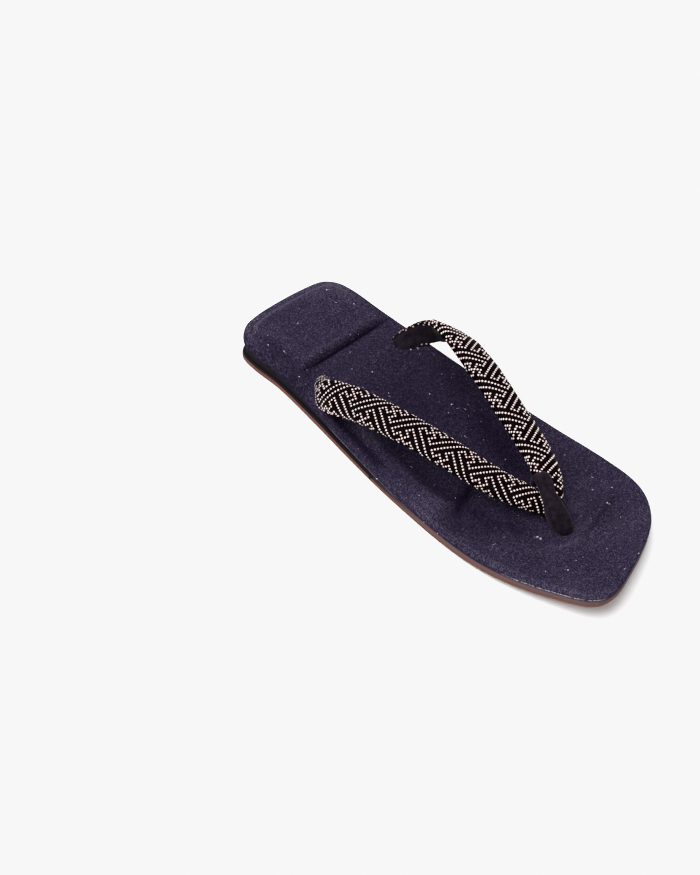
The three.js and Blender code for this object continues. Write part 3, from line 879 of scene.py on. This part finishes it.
def pad_highlight(x, along, from_edge):
    """Painted highlight on the rim and the front of the heel pad."""
    beyond = crease_gap(x, along) + HEEL_CREASE["gap"]
    rim = hill(from_edge - PAD_HIGHLIGHT["inset"], PAD_HIGHLIGHT["wide"]) * (beyond < 0)
    rim = rim * (1 - smoothstep(x, PAD_HIGHLIGHT["ease"], PAD_HIGHLIGHT["end"]))
    front = hill(beyond + PAD_HIGHLIGHT["behind"], PAD_HIGHLIGHT["wide"]) * (from_edge > PAD_HIGHLIGHT["inset"])
    return PAD_HIGHLIGHT["share"] * np.maximum(rim, front)


def fold_highlight(along, from_edge):
    """Painted highlight on the fold round the back of the heel, and on the cloth outside it."""
    fold = FOLD_HIGHLIGHT["share"] * hill(from_edge - FOLD_HIGHLIGHT["inset"], FOLD_HIGHLIGHT["wide"])
    outside = 1 - smoothstep(from_edge, FOLD_HIGHLIGHT["from"], FOLD_HIGHLIGHT["inset"])
    fold = fold + FOLD_HIGHLIGHT["outside"] * outside
    return fold * (1 - smoothstep(along, FOLD_HIGHLIGHT["ease"], FOLD_HIGHLIGHT["end"]))


def worn_and_lit(x, along, from_edge):
    """How much the cloth is lightened by rubbing and by painted light: 0 where it is not, 1 and more where
    it is.
    """
    ridges = crest_wear_and_light(x, along)
    for share, wear_x, wear_along, wide, long in WEARS_AND_LIGHTS:
        ridges = ridges + share * hill(x - wear_x, wide) * hill(along - wear_along, long)
    ridges = ridges + fold_highlight(along, from_edge) + thin_line(TOE_RUB_AND_LIGHT, x, along, TOE_RUB_AND_LIGHT_WIDE)
    return ridges + pad_highlight(x, along, from_edge)


print(len(WEARS_AND_LIGHTS), "rubbed spots")

# %% [markdown]
# ### The footbed's slab
# The cloth is drawn over the padding and rolls over the edge, so the side curve runs on over the top, and
# the relief fades in behind the roll. The grid is fine along the foot, because the creases run across it.
# A cloth simulation would find folds of its own, but these are known, so the vertices are moved to them.

# %% Footbed
FOOTBED_SIDE = ((1.4, 0), (0.3, 0.12), (0, 0.4), (0.4, 0.7), (1.4, 0.9), (3.4, 0.98), (6.5, 1))
FOOTBED_COLUMNS, FOOTBED_ROWS = 80, 440
RELIEF_FROM, RELIEF_FULL = 1.4, 6.5

footbed_mesh, at = edged_slab(FOOTBED_SIDE, FOOTBED_COLUMNS, FOOTBED_ROWS)
x, along = at["x"], at["along"]
on_top = at["up"] > 0.5
shown = smoothstep(at["inset"], RELIEF_FROM, RELIEF_FULL) * on_top
height = footbed_base(along) + footbed_thick(along) * at["rise"]
from_edge = edge_distance(x, along)
height = height + shown * relief(x, along, from_edge)
height = np.where(on_top, with_holes(x, along, height), height)
place_vertices(footbed_mesh, np.stack([x, along - LENGTH / 2, height], 1))
footbed_tree = BVHTree.FromBMesh(footbed_mesh)
# The mesh carries the painted shade, and the rubbing with painted light, to the cloth's finish.
cloth_tones = {
    "rise": at["rise"],
    "painted_shade": painted_shade(x, along),
    "worn_and_lit": worn_and_lit(x, along, from_edge) * on_top,
    "crease_gap": crease_gap(x, along),
    "crease_share": crease_share(x) * on_top,
}
footbed = finish_piece(footbed_mesh, "footbed_cushion", [indigo_cloth], ["footbed"],
                       cloth_tones)

# %% [markdown]
# ## Neps and loose fibres
# Handspun yarn has neps: little knots of fibre that took no dye and show as white specks. Short ends of
# fibre lie between them. One small ball is stamped many times, flattened to a nep or drawn out to a fibre,
# and each is set on the cloth where a plumb line from above meets it. The large ones have listed places.

# %% Stamps
def repeated(stamp, matrices):
    """One joined bmesh with the stamp at every matrix, in millimetres."""
    places = np.array([vert.co for vert in stamp.verts])
    faces = [[vert.index for vert in face.verts] for face in stamp.faces]
    solid = np.array(matrices)
    moved = np.einsum("nij,kj->nki", solid[:, :3, :3], places) + solid[:, None, :3, 3]
    mesh = bpy.data.meshes.new("stamped")
    count = len(places)
    starts = [number * count for number in range(len(solid))]
    corners = [[index + start for index in face] for start in starts for face in faces]
    mesh.from_pydata((moved * MM).reshape(-1, 3).tolist(), [], corners)
    joined = bmesh.new()
    joined.from_mesh(mesh)
    bpy.data.meshes.remove(mesh)
    stamp.free()
    return joined


def placed_on(spot, normal, size, turn=0.0):
    """A matrix that sets a stamp on a surface. Sizes are along, across and out of it."""
    facing = normal.to_track_quat("Z", "Y").to_matrix().to_4x4()
    spin = Matrix.Rotation(turn, 4, "Z")
    return Matrix.Translation(spot) @ facing @ spin @ Matrix.Diagonal((*size, 1))


# %% Cotton finish
COTTON_GREY = (0.18, 0.16, 0.21, 1)
COTTON_PALE = (0.42, 0.38, 0.43, 1)
COTTON_TINT, COTTON_BAND = (6, 6, 6), (0.35, 0.65)


def cotton_finish():
    material, wire, shader = new_finish("undyed_cotton", Specular_IOR_Level=0.1, Roughness=0.9)
    tint = noise(wire, object_place(wire), COTTON_TINT).between(*COTTON_BAND)
    wire.feed(shader.inputs["Base Color"], wire.mix(tint, COTTON_GREY, COTTON_PALE))
    return material


undyed_cotton = made_finish(cotton_finish())

# %% [markdown]
# ### Scattering the neps
# The small ones lie anywhere, so a seeded draw gives each its place, size and turn. A particle system would
# scatter them too, but a ray from above sets each on the cloth and keeps all of them in one plain mesh.

# %% Places on the cloth
LARGE_NEPS = (  # x, along, half length, half width
    (18.8, 213.3, 0.95, 0.75), (19, 211.4, 0.8, 0.65), (-11.1, 102.1, 0.45, 0.4), (-9.9, 117.8, 0.45, 0.35),
    (-21.2, 30.3, 0.5, 0.4), (-16.7, 13, 0.45, 0.35), (3.7, 72.7, 0.5, 0.4), (13.1, 110.6, 0.45, 0.4),
    (-15.5, 114.4, 0.45, 0.4), (-24.5, 218.2, 0.6, 0.35), (-35.5, 211.5, 0.5, 0.4),
    (-27.8, 205.4, 0.5, 0.35), (26.6, 238.8, 0.4, 0.35), (-7.7, 254.2, 0.4, 0.35), (36.5, 25.5, 0.45, 0.4),
    (33.5, 34.8, 0.45, 0.4), (38.5, 53, 0.45, 0.4), (11.5, 65, 0.4, 0.35),
)
WALL_THREADS = (  # along, height, half length, half width
    (127, 6.3, 0.9, 0.35), (164, 5.6, 0.5, 0.3), (174, 5.8, 0.45, 0.3),
)
FAR = 100


def on_cloth(x, along, size, turn):
    """The matrix for a stamp on the cloth below a place in plan, or None outside the outline."""
    above = Vector((x, along - LENGTH / 2, FAR)) * MM
    spot, normal, face, distance = footbed_tree.ray_cast(above, Vector((0, 0, -1)))
    if spot is None:
        return None
    return placed_on(spot / MM, normal, size, turn)


def on_wall(along, height, size, turn):
    """The matrix for a stamp on the inner wall of the footbed."""
    beside = Vector((FAR, along - LENGTH / 2, height)) * MM
    spot, normal, face, distance = footbed_tree.ray_cast(beside, Vector((-1, 0, 0)))
    return placed_on(spot / MM, normal, size, turn)


print(len(LARGE_NEPS), "large neps and", len(WALL_THREADS), "threads on the wall")

# %% Neps
NEP_SEED = 11
SMALL_NEPS = 300
FIBRES = 50
CLOTH_X = (-52, 52)
CLOTH_ALONG = (2, 263)
NEP_TURN = (0, 6)
NEP_HEIGHT = 0.25
WALL_TURN = 0.6
NEP_LEAST, NEP_SPREAD, NEP_RARITY = 0.08, 0.20, 4
NEP_STRETCH = (1, 1.8)
NEP_FLATNESS = 0.5
FIBRE_LONG, FIBRE_WIDE, FIBRE_HEIGHT = (0.5, 1.5), 0.07, 0.09
FIBRE_RUNS, FIBRE_STRAY = (0, 1.57), 0.3

rng = np.random.default_rng(NEP_SEED)
stamps = []
for x, along, length, wide in LARGE_NEPS:
    stamps.append(on_cloth(x, along, (length, wide, NEP_HEIGHT), rng.uniform(*NEP_TURN)))
for along, height, length, wide in WALL_THREADS:
    stamps.append(on_wall(along, height, (length, wide, NEP_HEIGHT), WALL_TURN))
for number in range(SMALL_NEPS):
    wide = NEP_LEAST + NEP_SPREAD * rng.random() ** NEP_RARITY
    size = (wide * rng.uniform(*NEP_STRETCH), wide, wide * NEP_FLATNESS)
    x, along = rng.uniform(*CLOTH_X), rng.uniform(*CLOTH_ALONG)
    stamps.append(on_cloth(x, along, size, rng.uniform(*NEP_TURN)))
for number in range(FIBRES):
    size = (rng.uniform(*FIBRE_LONG), FIBRE_WIDE, FIBRE_HEIGHT)
    x, along = rng.uniform(*CLOTH_X), rng.uniform(*CLOTH_ALONG)
    stamps.append(on_cloth(x, along, size, rng.choice(FIBRE_RUNS) + rng.normal(0, FIBRE_STRAY)))
stamps = [matrix for matrix in stamps if matrix is not None]
ball = bmesh.new()
bmesh.ops.create_icosphere(ball, subdivisions=1, radius=1)
finish_piece(repeated(ball, stamps), "neps", [undyed_cotton])
print(len(stamps), "neps and fibres")

# %% [markdown]
# ## The strap's arms
# Each arm is a stuffed tube of soft skin, pressed flat. Its tail comes up out of a hole beside the heel,
# bends over with its face outwards, and runs forwards to the thong. A tube from a cone with many rows is
# laid along the arm's middle line. Its inner side is a suede lining with a shallow groove.

# %% Tube helpers
def unit_tube(sides, steps):
    """A closed tube, with the angle and the step number of each vertex."""
    made = bmesh.new()
    bmesh.ops.create_cone(made, cap_ends=True, segments=sides, radius1=1, radius2=1, depth=1)
    upright = [edge for edge in made.edges if abs(edge.verts[0].co.z - edge.verts[1].co.z) > 0.5]
    bmesh.ops.subdivide_edges(made, edges=upright, cuts=steps - 1, use_grid_fill=True)
    bmesh.ops.recalc_face_normals(made, faces=made.faces[:])
    places = np.array([vert.co for vert in made.verts])
    angle = np.arctan2(places[:, 1], places[:, 0])
    return made, angle, np.rint((places[:, 2] + 0.5) * steps).astype(int)


# %% [markdown]
# ### The run of an arm
# Each row of the table is one section of the arm: where its middle lies, how wide and thick it is, and how
# far its face leans from looking up (0) to looking outwards (90) and down (180). A curve with a bevel can
# tilt and taper, but its section keeps one shape, while here width and thickness change on their own. So a
# frame is worked out at every step. The two arms share the table, apart from small shifts, because a worn
# strap is never quite even.

# %% Arm frames
ARM = (  # along, spread, height, width, thick, lean
    (65.4, 20.5, 11.5, 10, 5.5, 168), (66.2, 22.8, 15.2, 11.5, 6, 158), (67.8, 27.8, 18.2, 12.5, 6.6, 134),
    (71, 34.2, 21.6, 13.8, 7.2, 104), (77.6, 39.2, 25.6, 15.8, 7.8, 70), (88, 40.6, 30.2, 17.4, 8.2, 38),
    (103, 37.8, 33, 17.6, 8.4, 17), (122, 32.6, 33, 17.4, 8.4, 10), (142, 26.4, 30.6, 16.8, 8.4, 9),
    (162, 20.4, 27.6, 16.2, 8.4, 8), (180, 14.6, 25.4, 15.4, 8.2, 8), (192, 8.8, 23.8, 14, 8, 6),
    (200.5, 4.6, 21.6, 9.6, 7, 4), (203.6, 2.8, 20, 7, 4.6, 4),
)
ARM_SHIFT = {
    "lateral": {"side": -1, "tail_out": 2, "tail_forward": 0, "bow": -1, "front_drop": 0},
    "medial": {"side": 1, "tail_out": 2.8, "tail_forward": 0.8, "bow": 0, "front_drop": 2.4},
}
ARM_STEPS = 14
TAIL_END, TAIL_EASE = 68, 96
DROP_FROM, DROP_FULL = 145, 195
BOW_AT, BOW_WIDE = 115, 28


def arm_frames(shift):
    """Middle, across, out, width and thickness at each step of one arm."""
    along, spread, height, width, thick, lean = smooth_rows(ARM, ARM_STEPS).T
    tail = 1 - smoothstep(along, TAIL_END, TAIL_EASE)
    height = height - shift["front_drop"] * smoothstep(along, DROP_FROM, DROP_FULL)
    spread = spread + shift["tail_out"] * tail + shift["bow"] * hill(along - BOW_AT, BOW_WIDE)
    along = along + shift["tail_forward"] * tail
    middle = np.stack([STRAP_MIDDLE + shift["side"] * spread, along - LENGTH / 2, height], 1)
    run = unit(np.gradient(middle, axis=0))
    outward = unit(np.stack([run[:, 1], -run[:, 0], 0 * along], 1)) * shift["side"]
    upward = unit(np.array([0, 0, 1]) - run * run[:, 2:])
    lean = np.radians(lean)[:, None]
    out = upward * np.cos(lean) + outward * np.sin(lean)
    return {"middle": middle, "across": np.cross(run, out), "out": out, "width": width, "thick": thick}


arm_runs = {name: arm_frames(shift) for name, shift in ARM_SHIFT.items()}
for name, frames in arm_runs.items():
    print(name, "arm", round(travelled(frames["middle"])[-1]), "mm long")

# %% [markdown]
# ### The section of an arm
# Stuffing pushes the face full, and the sewn edges hold it flat, so the section lies between an ellipse and
# a box. The lining is drawn in and has a groove along its middle. Where the two arms meet, both are pressed
# flat against the strap's middle plane, which keeps them from running into each other.

# %% Arm surface
STRAP_FLATNESS = 0.8
LINING_FROM, LINING_FULL = 0.35, 0.75
LINING_DRAWN = 0.14
GROOVE_DEEP, GROOVE_WIDE = 0.7, 0.3
PRESS_GAP = 0.15


def rounded(value):
    return np.sign(value) * np.abs(value) ** STRAP_FLATNESS


def arm_surface(frames, side, step, angle):
    """Points on an arm: full on the face, flatter with a groove on the lining."""
    width, thick = frames["width"][step], frames["thick"][step]
    across = rounded(np.cos(angle)) * width / 2
    out = rounded(np.sin(angle)) * thick / 2
    lining = smoothstep(-np.sin(angle), LINING_FROM, LINING_FULL)
    out = out + lining * (LINING_DRAWN * thick + GROOVE_DEEP * hill(np.cos(angle), GROOVE_WIDE))
    place = frames["middle"][step] + frames["across"][step] * across[:, None]
    place = place + frames["out"][step] * out[:, None]
    from_middle = np.maximum((place[:, 0] - STRAP_MIDDLE) * side, PRESS_GAP)
    place[:, 0] = STRAP_MIDDLE + side * from_middle
    return place


# %% [markdown]
# ### Skin and lining
# The skin is thin black leather with a fine pebble and a soft gloss. The lining is suede: matt, with a
# short nap that takes the light unevenly. Cells of a Voronoi texture make the pebbles, and stretched noise
# the nap. Both are too fine to be modelled, so they only tilt the normal and change the tone.

# %% Strap finishes
SKIN_BLACK = (0.0007, 0.0001, 0.0003, 1)
SKIN_BROWN = (0.0022, 0.0005, 0.0009, 1)
SKIN_CLOUD = (4, 4, 4)
SKIN_ROUGH, SKIN_CLOUD_ROUGH = 0.52, 0.2
PEBBLE, PEBBLE_DEEP = 0.6, 0.10
LINING_DARK = (0.0034, 0.0019, 0.0040, 1)
LINING_GREY = (0.0078, 0.0048, 0.0088, 1)
LINING_NAP, LINING_FOLD = (0.5, 1.0, 0.5), (3.5, 2, 3)
LINING_TONE = {"fold": 0.7, "nap": 0.3, "band": (0.35, 0.65)}
LINING_ROUGH, NAP_ROUGH = 0.85, 0.1
LINING_DEPTH = {"nap": 0.3, "all": 0.5}


def skin_finish():
    material, wire, shader = new_finish("strap_skin", Specular_IOR_Level=0.01)
    place = object_place(wire)
    pebble_sockets = {"Vector": place, "Scale": 1 / (PEBBLE * MM)}
    pebble = wire.add("ShaderNodeTexVoronoi", {}, pebble_sockets, "Distance")
    cloud = noise(wire, place, SKIN_CLOUD, detail=3.0)
    wire.feed(shader.inputs["Base Color"], wire.mix(cloud, SKIN_BLACK, SKIN_BROWN))
    wire.feed(shader.inputs["Roughness"], SKIN_ROUGH + cloud * SKIN_CLOUD_ROUGH)
    wire.feed(shader.inputs["Normal"], bump(wire, pebble, PEBBLE_DEEP))
    return material


def lining_finish():
    material, wire, shader = new_finish("strap_lining", Specular_IOR_Level=0.04, Sheen_Weight=0.05,
                                        Sheen_Roughness=0.4)
    place = object_place(wire)
    nap = noise(wire, place, LINING_NAP, detail=4.0)
    fold = noise(wire, place, LINING_FOLD)
    uneven = (fold * LINING_TONE["fold"] + nap * LINING_TONE["nap"]).between(*LINING_TONE["band"])
    wire.feed(shader.inputs["Base Color"], wire.mix(uneven, LINING_DARK, LINING_GREY))
    wire.feed(shader.inputs["Roughness"], LINING_ROUGH + nap * NAP_ROUGH)
    raised = nap * LINING_DEPTH["nap"] + fold
    wire.feed(shader.inputs["Normal"], bump(wire, raised, LINING_DEPTH["all"]))
    return material


strap_finishes = [made_finish(skin_finish()), made_finish(lining_finish())]

# %% [markdown]
# ### The two arms
# The tube's faces that look to the lining get its suede while the tube is still round and easy to divide.
# Then every vertex goes to its place on the arm.

# %% Arms
ARM_SIDES = 72
LINING_EDGE = 0.5


def make_arm(name, shift):
    frames = arm_runs[name]
    made, angle, step = unit_tube(ARM_SIDES, len(frames["width"]) - 1)
    for face in made.faces:
        face.material_index = int(-face.calc_center_median().y > LINING_EDGE)
    place_vertices(made, arm_surface(frames, shift["side"], step, angle))
    bmesh.ops.recalc_face_normals(made, faces=made.faces[:])
    arm = finish_piece(made, f"strap_{name}", strap_finishes, ["straps"])


for name, shift in ARM_SHIFT.items():
    make_arm(name, shift)

# %% [markdown]
# ## The lacquer dots
# The skin is patterned with raised dots of pale lacquer in a traditional key fret. The chart is a square
# grid turned by 45 degrees to the strap. A key grows from its middle as four equal bent arms, each ending
# in a long line that it shares with its neighbour. Every second key is a mirror image. The set of
# charted places is laid over each arm by its lengths along and round the strap, as a printer's screen is.

# %% Chart of the fret
KEY_REACH = 10
KEY_BEND = ((0, -1), (0, -2), (-1, -2), (-2, -2), (-2, -3), (-2, -4))
KEY_LINE = tuple((a, -4) for a in range(-1, 13))
CHART_KEYS = 9


def key_dots(mirrored):
    """Grid places of one key: a bent arm turned four times about its middle."""
    dots = {(0, 0)}
    for a, b in KEY_BEND + KEY_LINE:
        for quarter in range(4):
            dots.add((-a, b) if mirrored else (a, b))
            a, b = -b, a
    return dots


def fret_chart():
    """Every dot of the fret, with the shared lines counted once."""
    dots = set()
    for i in range(-CHART_KEYS, CHART_KEYS + 1):
        for j in range(-CHART_KEYS, CHART_KEYS + 1):
            key = key_dots((i + j) % 2 == 1)
            dots.update((a + KEY_REACH * i, b + KEY_REACH * j) for a, b in key)
    return np.array(sorted(dots))


chart = fret_chart()
print("chart of", len(chart), "dots")

# %% [markdown]
# ### One dot and its lacquer
# A dot of lacquer dries to a low dome. It is stamped so often that a small ball cut by a plane has to do. On
# the tails the dots are darkened with a painted shade.

# %% Dot and lacquer
DOME_SEGMENTS, DOME_RINGS = 9, 6
DOME_CUT = -0.2
LACQUER_WARM = (0.57, 0.43, 0.41, 1)
LACQUER_PALE = (0.67, 0.55, 0.53, 1)
# Colour of the painted shade on the dots of the tails.
SHADED_LACQUER = (0.15, 0.11, 0.105, 1)
LACQUER_CLOUD, LACQUER_BAND = (2.2, 2.2, 2.2), (0.3, 0.7)
LACQUER_ROUGH, LACQUER_CLOUD_ROUGH = 0.38, 0.2


def dome():
    """One dot: the upper part of a small ball, closed below."""
    made = bmesh.new()
    bmesh.ops.create_uvsphere(made, u_segments=DOME_SEGMENTS, v_segments=DOME_RINGS, radius=1)
    parts = made.verts[:] + made.edges[:] + made.faces[:]
    cut = {"plane_co": (0, 0, DOME_CUT), "plane_no": (0, 0, -1), "clear_outer": True}
    bmesh.ops.bisect_plane(made, geom=parts, **cut)
    bmesh.ops.holes_fill(made, edges=[edge for edge in made.edges if edge.is_boundary])
    made.verts.index_update()
    return made


def lacquer_finish():
    material, wire, shader = new_finish("dot_lacquer", Specular_IOR_Level=0.5)
    cloud = noise(wire, object_place(wire), LACQUER_CLOUD)
    fresh = wire.mix(cloud.between(*LACQUER_BAND), LACQUER_WARM, LACQUER_PALE)
    # Painted shade darkens the dots on the tails.
    wire.feed(shader.inputs["Base Color"], wire.mix(carried(wire, "tail_shade"), fresh, SHADED_LACQUER))
    wire.feed(shader.inputs["Roughness"], LACQUER_ROUGH + cloud * LACQUER_CLOUD_ROUGH)
    return material


dot_lacquer = made_finish(lacquer_finish())

# %% [markdown]
# ### Dots on the arms
# The chart's places become lengths along the crown of the arm and round its section. Each is then found on
# the arm's own surface, with the way out of it, and a dot is stamped there. Places on the lining, beyond
# the ends or in the press between the arms get none.

# %% Places of the dots
DOT_CHART = {  # pitch, dot radius, stretch round the strap, and the middle key along and round it
    "lateral": {"pitch": 1.575, "radius": 0.56, "stretch": 1.2, "along": 91.0, "round": -5.7},
    "medial": {"pitch": 1.66, "radius": 0.51, "stretch": 1.0, "along": 87.5, "round": 8.2},
}
DOT_RISE = 0.32
DOT_SINK = 0.06
DOT_WRAP = 0.42
TAIL_WRAP = 0.22
TAIL_FROM, TAIL_TO = 22, 38
# How much painted shade the dots on the tails get.
TAIL_SHADE_SHARE = 0.85
DOT_SEED = 7
DOT_SPREAD = (0.94, 1.05)
DOT_MARGIN = 0.2
SECTION_POINTS = 241
NORMAL_TURN = 0.05
CROWN = SECTION_POINTS // 2
section_turn = np.linspace(-0.5 * math.pi, 1.5 * math.pi, SECTION_POINTS)


def at_angle(section, angle):
    """The point of a section at an angle round it."""
    return np.array([np.interp(angle, section_turn, section[:, axis]) for axis in range(3)])


def arm_rings(frames, side):
    """The surface of an arm as one ring of points at each step."""
    steps = [np.full(SECTION_POINTS, step) for step in range(len(frames["width"]))]
    return np.array([arm_surface(frames, side, step, section_turn) for step in steps])


def charted(layout, longest):
    """Lengths along and round an arm for the charted dots that its length can hold."""
    step = layout["pitch"] / math.sqrt(2)
    lengths = (chart[:, 0] + chart[:, 1]) * step + layout["along"]
    rounds = (chart[:, 1] - chart[:, 0]) * step * layout["stretch"] + layout["round"]
    chosen = (lengths > 0) & (lengths < longest)
    return zip(lengths[chosen], rounds[chosen])


def dot_spot(rings, low, share, rounding, wrap):
    """A dot's place on the arm and the normal there, in or out, or None on the lining."""
    section = rings[low] * (1 - share) + rings[low + 1] * share
    path = travelled(section)
    path = path - path[CROWN]
    angle = np.interp(-rounding, path, section_turn)
    if math.sin(angle) < -wrap or not path[0] < -rounding < path[-1]:
        return None
    spot = at_angle(section, angle)
    beside = at_angle(section, angle + NORMAL_TURN)
    ahead = at_angle(rings[low + 1] - rings[low], angle)
    return spot, Vector(np.cross(beside - spot, ahead)).normalized()


# %% Stamped dots
def dots_on_arm(name, shift):
    frames = arm_runs[name]
    layout = DOT_CHART[name]
    rings = arm_rings(frames, shift["side"])
    travel = travelled(rings[:, CROWN])
    rng = np.random.default_rng(DOT_SEED)
    matrices = []
    tail_shade = []
    for length, rounding in charted(layout, travel[-1]):
        in_tail = 1 - smoothstep(length, TAIL_FROM, TAIL_TO)
        exact = np.interp(length, travel, np.arange(len(travel)))
        low = min(int(exact), len(travel) - 2)
        found = dot_spot(rings, low, exact - low, rounding, DOT_WRAP + TAIL_WRAP * in_tail)
        if found is None:
            continue
        spot, normal = found
        if (spot[0] - STRAP_MIDDLE) * shift["side"] < PRESS_GAP + DOT_MARGIN:
            continue
        if normal.dot(Vector(spot - frames["middle"][low])) < 0:
            normal = -normal
        size = layout["radius"] * rng.uniform(*DOT_SPREAD)
        matrices.append(placed_on(Vector(spot) - normal * DOT_SINK, normal, (size, size, DOT_RISE)))
        # Painted shade on the dots of the tails.
        tail_shade.append(TAIL_SHADE_SHARE * in_tail)
    print(name, len(matrices), "dots")
    stamped = repeated(dome(), matrices)
    tail_shade = np.repeat(tail_shade, len(stamped.verts) // len(matrices))
    finish_piece(stamped, f"dots_{name}", [dot_lacquer], attributes={"tail_shade": tail_shade})


for name, shift in ARM_SHIFT.items():
    dots_on_arm(name, shift)

# %% [markdown]
# ## The thong
# A velvet tube hooks over the place where the arms meet and goes down between the toes. It is narrow at
# the neck, where it is pulled tight, and plump below. The velvet is nearly black, with a soft light edge.

# %% Velvet finish
VELVET_BLACK = (0.0032, 0.0019, 0.0036, 1)
VELVET_GREY = (0.0092, 0.0055, 0.0096, 1)
VELVET_SHEEN = (0.5, 0.4, 0.5, 1)
VELVET_NAP, VELVET_NAP_DEEP = (0.5, 0.5, 0.5), 0.25
VELVET_CLOUD, VELVET_BAND = (2.5, 2.5, 2.5), (0.3, 0.7)
VELVET_ROUGH, VELVET_NAP_ROUGH = 0.9, 0.1


def velvet_finish():
    material, wire, shader = new_finish("thong_velvet", Specular_IOR_Level=0.04, Sheen_Weight=0.12,
                                        Sheen_Roughness=0.35, Sheen_Tint=VELVET_SHEEN)
    place = object_place(wire)
    nap = noise(wire, place, VELVET_NAP, detail=4.0)
    cloud = noise(wire, place, VELVET_CLOUD, detail=3.0)
    wire.feed(shader.inputs["Base Color"], wire.mix(cloud.between(*VELVET_BAND), VELVET_BLACK, VELVET_GREY))
    wire.feed(shader.inputs["Roughness"], VELVET_ROUGH + nap * VELVET_NAP_ROUGH)
    wire.feed(shader.inputs["Normal"], bump(wire, nap, VELVET_NAP_DEEP))
    return material


thong_velvet = made_finish(velvet_finish())

# %% [markdown]
# ### The thong's tube
# The same kind of tube as for the arms runs in one upright plane, so a frame that stays square to that
# plane is enough. The rows give the bend over the strap, the tight neck and the plump lower part.

# %% Thong
THONG = (  # along, x, height, width, thick
    (189.7, -0.3, 21.4, 6, 3.4), (190, -0.2, 25.2, 7.6, 3.7), (191.2, -0.1, 27.7, 8.6, 4),
    (193.4, 0.2, 28.6, 8.8, 4.2), (197, 1.2, 26.9, 8.6, 4.8), (200.4, 2.5, 24.6, 8, 5.4),
    (206.2, 4.1, 21, 10.4, 7.8), (212, 5, 17, 11.5, 8.8), (216, 5.2, 13.6, 10.1, 8.2),
    (217.2, 5.3, 11.8, 7.6, 7),
)
THONG_STEPS = 12
THONG_SIDES = 64


def make_thong():
    along, x, height, width, thick = smooth_rows(THONG, THONG_STEPS).T
    middle = np.stack([x, along - LENGTH / 2, height], 1)
    run = unit(np.gradient(middle, axis=0))
    forward = unit((middle[-1] - middle[0]) * (1, 1, 0))
    across = np.array([forward[1], -forward[0], 0])
    out = np.cross(across, run)
    made, angle, step = unit_tube(THONG_SIDES, len(width) - 1)
    place = middle[step] + across * (rounded(np.cos(angle)) * width[step] / 2)[:, None]
    place = place + out[step] * (rounded(np.sin(angle)) * thick[step] / 2)[:, None]
    place_vertices(made, place)
    bmesh.ops.recalc_face_normals(made, faces=made.faces[:])
    thong = finish_piece(made, "thong", [thong_velvet], ["front_thong"])


make_thong()

# %% [markdown]
# ## Floor and light
# The sandal stands on a plain white floor. One broad soft light hangs high on its inner side, so the
# shadows fall under the straps and towards the little toe. A weaker one fills from behind the heel, and a
# white room does the rest. As in a product photo the floor is lit well beyond white, so that only the
# shadow close to the sole stays. A curve holds that white just below the brightest value.

# %% Floor
FLOOR_WHITE = (0.95, 0.95, 0.95, 1)
FLOOR_HALF = 6.0

floor_mesh = bmesh.new()
bmesh.ops.create_grid(floor_mesh, x_segments=1, y_segments=1, size=FLOOR_HALF)
floor_data = bpy.data.meshes.new("floor")
floor_mesh.to_mesh(floor_data)
floor_mesh.free()
floor_material, floor_wire, floor_shader = new_finish("floor_white", Roughness=0.9, Specular_IOR_Level=0.0)
floor_wire.feed(floor_shader.inputs["Base Color"], FLOOR_WHITE)
floor_data.materials.append(floor_material)
floor = bpy.data.objects.new("floor", floor_data)
bpy.context.scene.collection.objects.link(floor)
print("floor", 2 * FLOOR_HALF, "m wide")

# %% Light
LIGHTS = {  # direction of travel, strength, angle in degrees
    "broad_light": ((-0.46, 0.10, -0.88), 5.3, 50),
    "fill_light": ((-0.10, 0.60, -0.79), 0.75, 80),
}
ROOM_WHITE = (1, 1, 1, 1)
ROOM_STRENGTH = 0.69

for name, (travel, strength, angle) in LIGHTS.items():
    light_data = bpy.data.lights.new(name, "SUN")
    light_data.energy = strength
    light_data.angle = math.radians(angle)
    light = bpy.data.objects.new(name, light_data)
    light.rotation_euler = Vector(travel).to_track_quat("-Z", "Y").to_euler()
    bpy.context.scene.collection.objects.link(light)

room = bpy.data.worlds.new("white_room")
room.use_nodes = True
room_light = room.node_tree.nodes["Background"]
room_light.inputs["Color"].default_value = ROOM_WHITE
room_light.inputs["Strength"].default_value = ROOM_STRENGTH
bpy.context.scene.world = room
print(len(LIGHTS), "lights and a white room")

# %% Tone curve
WHITE_CURVE = ((0, 0), (0.75, 0.75), (1, 0.93))
COMBINED = 3

view = bpy.context.scene.view_settings
view.view_transform = "Standard"
view.use_curve_mapping = True
view.curve_mapping.extend = "HORIZONTAL"
white_curve = view.curve_mapping.curves[COMBINED].points
curve_points = (white_curve[0], white_curve.new(*WHITE_CURVE[1]), white_curve[-1])
for place, point in zip(WHITE_CURVE, curve_points):
    point.location = place
view.curve_mapping.update()
print("white is held at", WHITE_CURVE[-1][1])
